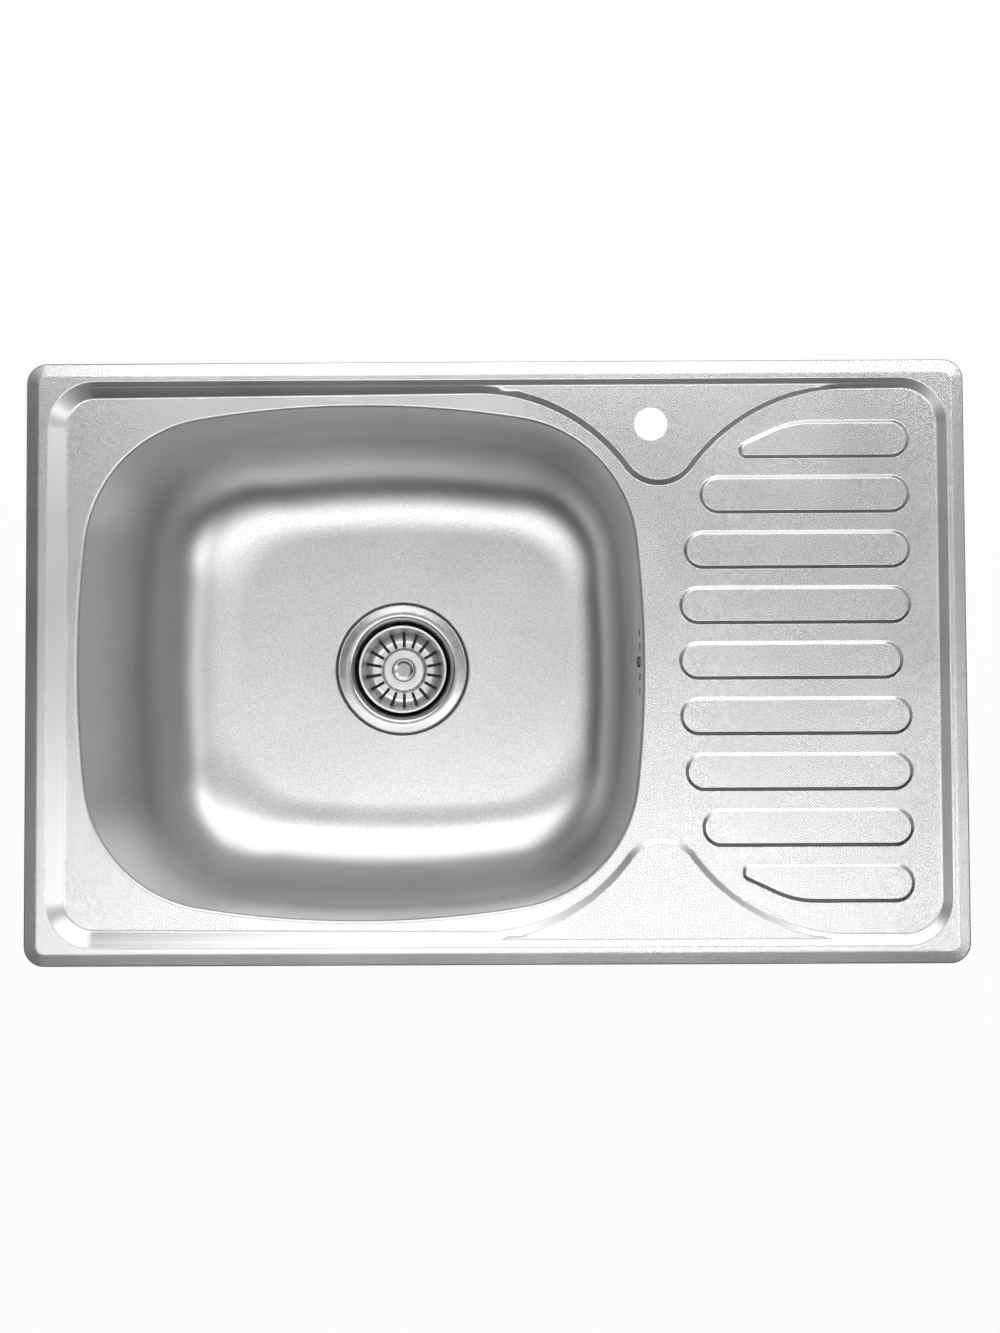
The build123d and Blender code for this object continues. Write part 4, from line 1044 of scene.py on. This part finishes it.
def pressing_skin():
    """The upper face of the sheet, from the foot of the outer skirt to the drain hole."""
    skin = Skin()
    edge, edge_normals = edge_rows()
    edge_rings = [skin.add(row, normal) for row, normal in zip(edge, edge_normals)]
    for inner, outer in zip(edge_rings, edge_rings[1:]):
        skin.strip(outer, inner)
    rows, normals, facing = bowl_rows()
    rings = [skin.add(row, normal) for row, normal in zip(rows, normals)]
    columns, first, last = overflow_window(rows)
    for index in range(len(rings) - 1):
        skipped = set(columns[:-1]) if first <= index < last else ()
        skin.strip(rings[index], rings[index + 1], skipped)
    hole = tap_ring(TAP_HOLE_R)
    hole_ring = skin.add(*upper_place(hole[:, 0], hole[:, 1]))
    lip = rows[0][:, :2]
    loops = [(edge[0][:, :2], edge_rings[0]), (lip, rings[0]), (hole, hole_ring)]
    skin.fill(loops, *deck_points(rows[0], facing), upper_place, [lip, hole], False)
    fill_window(skin, rings, columns, first, last)
    return skin


def fill_window(skin, rings, columns, first, last):
    """Close the window in the bowl's wall around the overflow's openings."""
    left, right = columns[0], columns[-1]
    frame_loop = [rings[first][column] for column in columns]
    frame_loop += [rings[row][right] for row in range(first + 1, last)]
    frame_loop += [rings[last][column] for column in columns[::-1]]
    frame_loop += [rings[row][left] for row in range(last - 1, first, -1)]
    shape = np.vstack(skin.points)[frame_loop][:, 1:]
    loops = [(shape, np.array(frame_loop))]
    cuts = list(overflow_loops())
    for cut in cuts:
        loops.append((cut, skin.add(*right_wall_place(cut[:, 0], cut[:, 1]))))
    between = np.array([(step * SLOT_PITCH / 2, SLOT_LEVEL) for step in BETWEEN_SLOTS])
    skin.fill(loops, between, [], right_wall_place, cuts, True)


def closed_sheet(name, skin, thickness):
    """A sheet of even thickness under a skin, with its cut edges closed."""
    points = np.vstack(skin.points)
    normals = np.vstack(skin.normals)
    count = len(points)
    both = np.vstack([points, points - normals * thickness])
    directed = {(face[index - 1], face[index]) for face in skin.faces for index in range(len(face))}
    cuts = [(a, a + count, b + count, b) for a, b in directed if (b, a) not in directed]
    cuts.sort()
    under = [tuple(corner + count for corner in face[::-1]) for face in skin.faces]
    faces = skin.faces + under + cuts
    corner_normals = [normals[corner] for face in skin.faces for corner in face]
    corner_normals += [-normals[corner - count] for face in under for corner in face]
    for a, low_a, low_b, b in cuts:
        across = np.cross(both[low_a] - both[a], both[b] - both[a])
        corner_normals += [unit(across)] * 4
    mesh = bpy.data.meshes.new(name)
    mesh.from_pydata((both / MM_PER_METRE).tolist(), [], [[int(corner) for corner in face] for face in faces])
    mesh.normals_split_custom_set([tuple(normal) for normal in corner_normals])
    made = bpy.data.objects.new(name, mesh)
    bpy.context.scene.collection.objects.link(made)
    return made


pressing = closed_sheet("sink_sheet", pressing_skin(), SHEET)
pressing.data.materials.append(finishes["sink_steel"])
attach(pressing, "sink")
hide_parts("sink_pressing")


# Floor: pale, white to the camera, with a share of plain shading that keeps the shadow
def floor_material():
    made, n = material("floor_pale")
    cloud = n.noise(n.point(), FLOOR_CLOUD_SCALE)
    tone = n.spread(cloud, FLOOR_WHITE - FLOOR_SPREAD, FLOOR_WHITE + FLOOR_SPREAD)
    matt = n.add("ShaderNodeBsdfDiffuse")
    n.put(matt.inputs["Color"], n.even_gray(tone))
    glow = n.add("ShaderNodeEmission")
    n.put(glow.inputs["Strength"], 1.0)
    path = n.add("ShaderNodeLightPath")
    seen = n.math("MAXIMUM", path.outputs["Is Camera Ray"], path.outputs["Is Glossy Ray"])
    seen = n.math("MAXIMUM", seen, path.outputs["Is Transmission Ray"])
    mix = n.add("ShaderNodeMixShader")
    n.put(mix.inputs["Fac"], n.math("MULTIPLY", seen, FLOOR_GLOW_SHARE))
    n.put(mix.inputs[1], matt.outputs[0])
    n.put(mix.inputs[2], glow.outputs[0])
    n.finish(mix.outputs[0])
    return made


bpy.ops.mesh.primitive_grid_add(
    x_subdivisions=FLOOR_CELLS, y_subdivisions=FLOOR_CELLS, size=2 * FLOOR_HALF
)
floor = bpy.context.object
floor.name = "floor"
floor.location = (0, 0, cad_box[0][2] - FLOOR_GAP)
floor.data.materials.append(floor_material())


# Light tent: a sphere around the sink whose level changes with the angle
def light_level(n, first, up, plan):
    """The light plan's level at the angle between straight up and a direction."""
    angle = n.math("ARCTAN2", first, up)
    place = n.math("MULTIPLY_ADD", angle, 1 / math.pi, 0.5)
    ramp = n.add("ShaderNodeValToRGB")
    ramp.color_ramp.interpolation = "EASE"
    stops = ramp.color_ramp.elements
    while len(stops) < len(plan):
        stops.new(0.5)
    for stop, (degrees, level) in zip(stops, plan):
        stop.position = degrees / 180 + 0.5
        stop.color = gray(level)
    n.put(ramp.inputs[0], place)
    return ramp.outputs[0]


def tent_material():
    made, n = material("tent_cloth")
    x, y, z = n.parts(n.point())
    across = light_level(n, x, z, LIGHT_ACROSS)
    along = light_level(n, y, z, LIGHT_ALONG)
    glow = n.add("ShaderNodeEmission")
    n.put(glow.inputs["Strength"], n.math("MULTIPLY", across, along))
    n.finish(glow.outputs[0])
    return made


bpy.ops.mesh.primitive_uv_sphere_add(segments=TENT_SEGMENTS, ring_count=TENT_RINGS, radius=TENT_R)
tent = bpy.context.object
tent.name = "light_tent"
tent.data.materials.append(tent_material())
tent.visible_camera = False

world = bpy.data.worlds.new("studio")
world.use_nodes = True
world.node_tree.nodes["Background"].inputs["Color"].default_value = (1, 1, 1, 1)
world.node_tree.nodes["Background"].inputs["Strength"].default_value = 1.0
bpy.context.scene.world = world

camera_data = bpy.data.cameras.new("camera")
camera_data.lens = LENS_MM
camera_data.sensor_width = SENSOR_MM
camera_data.shift_y = CAMERA_SHIFT_Y
camera_data.clip_end = CAMERA_REACH
camera = bpy.data.objects.new("camera", camera_data)
camera.location = CAMERA_PLACE
camera.rotation_euler = Euler([math.radians(angle) for angle in CAMERA_TURN_DEG], "XYZ")
bpy.context.scene.collection.objects.link(camera)
bpy.context.scene.camera = camera
bpy.context.scene.view_settings.view_transform = "Standard"
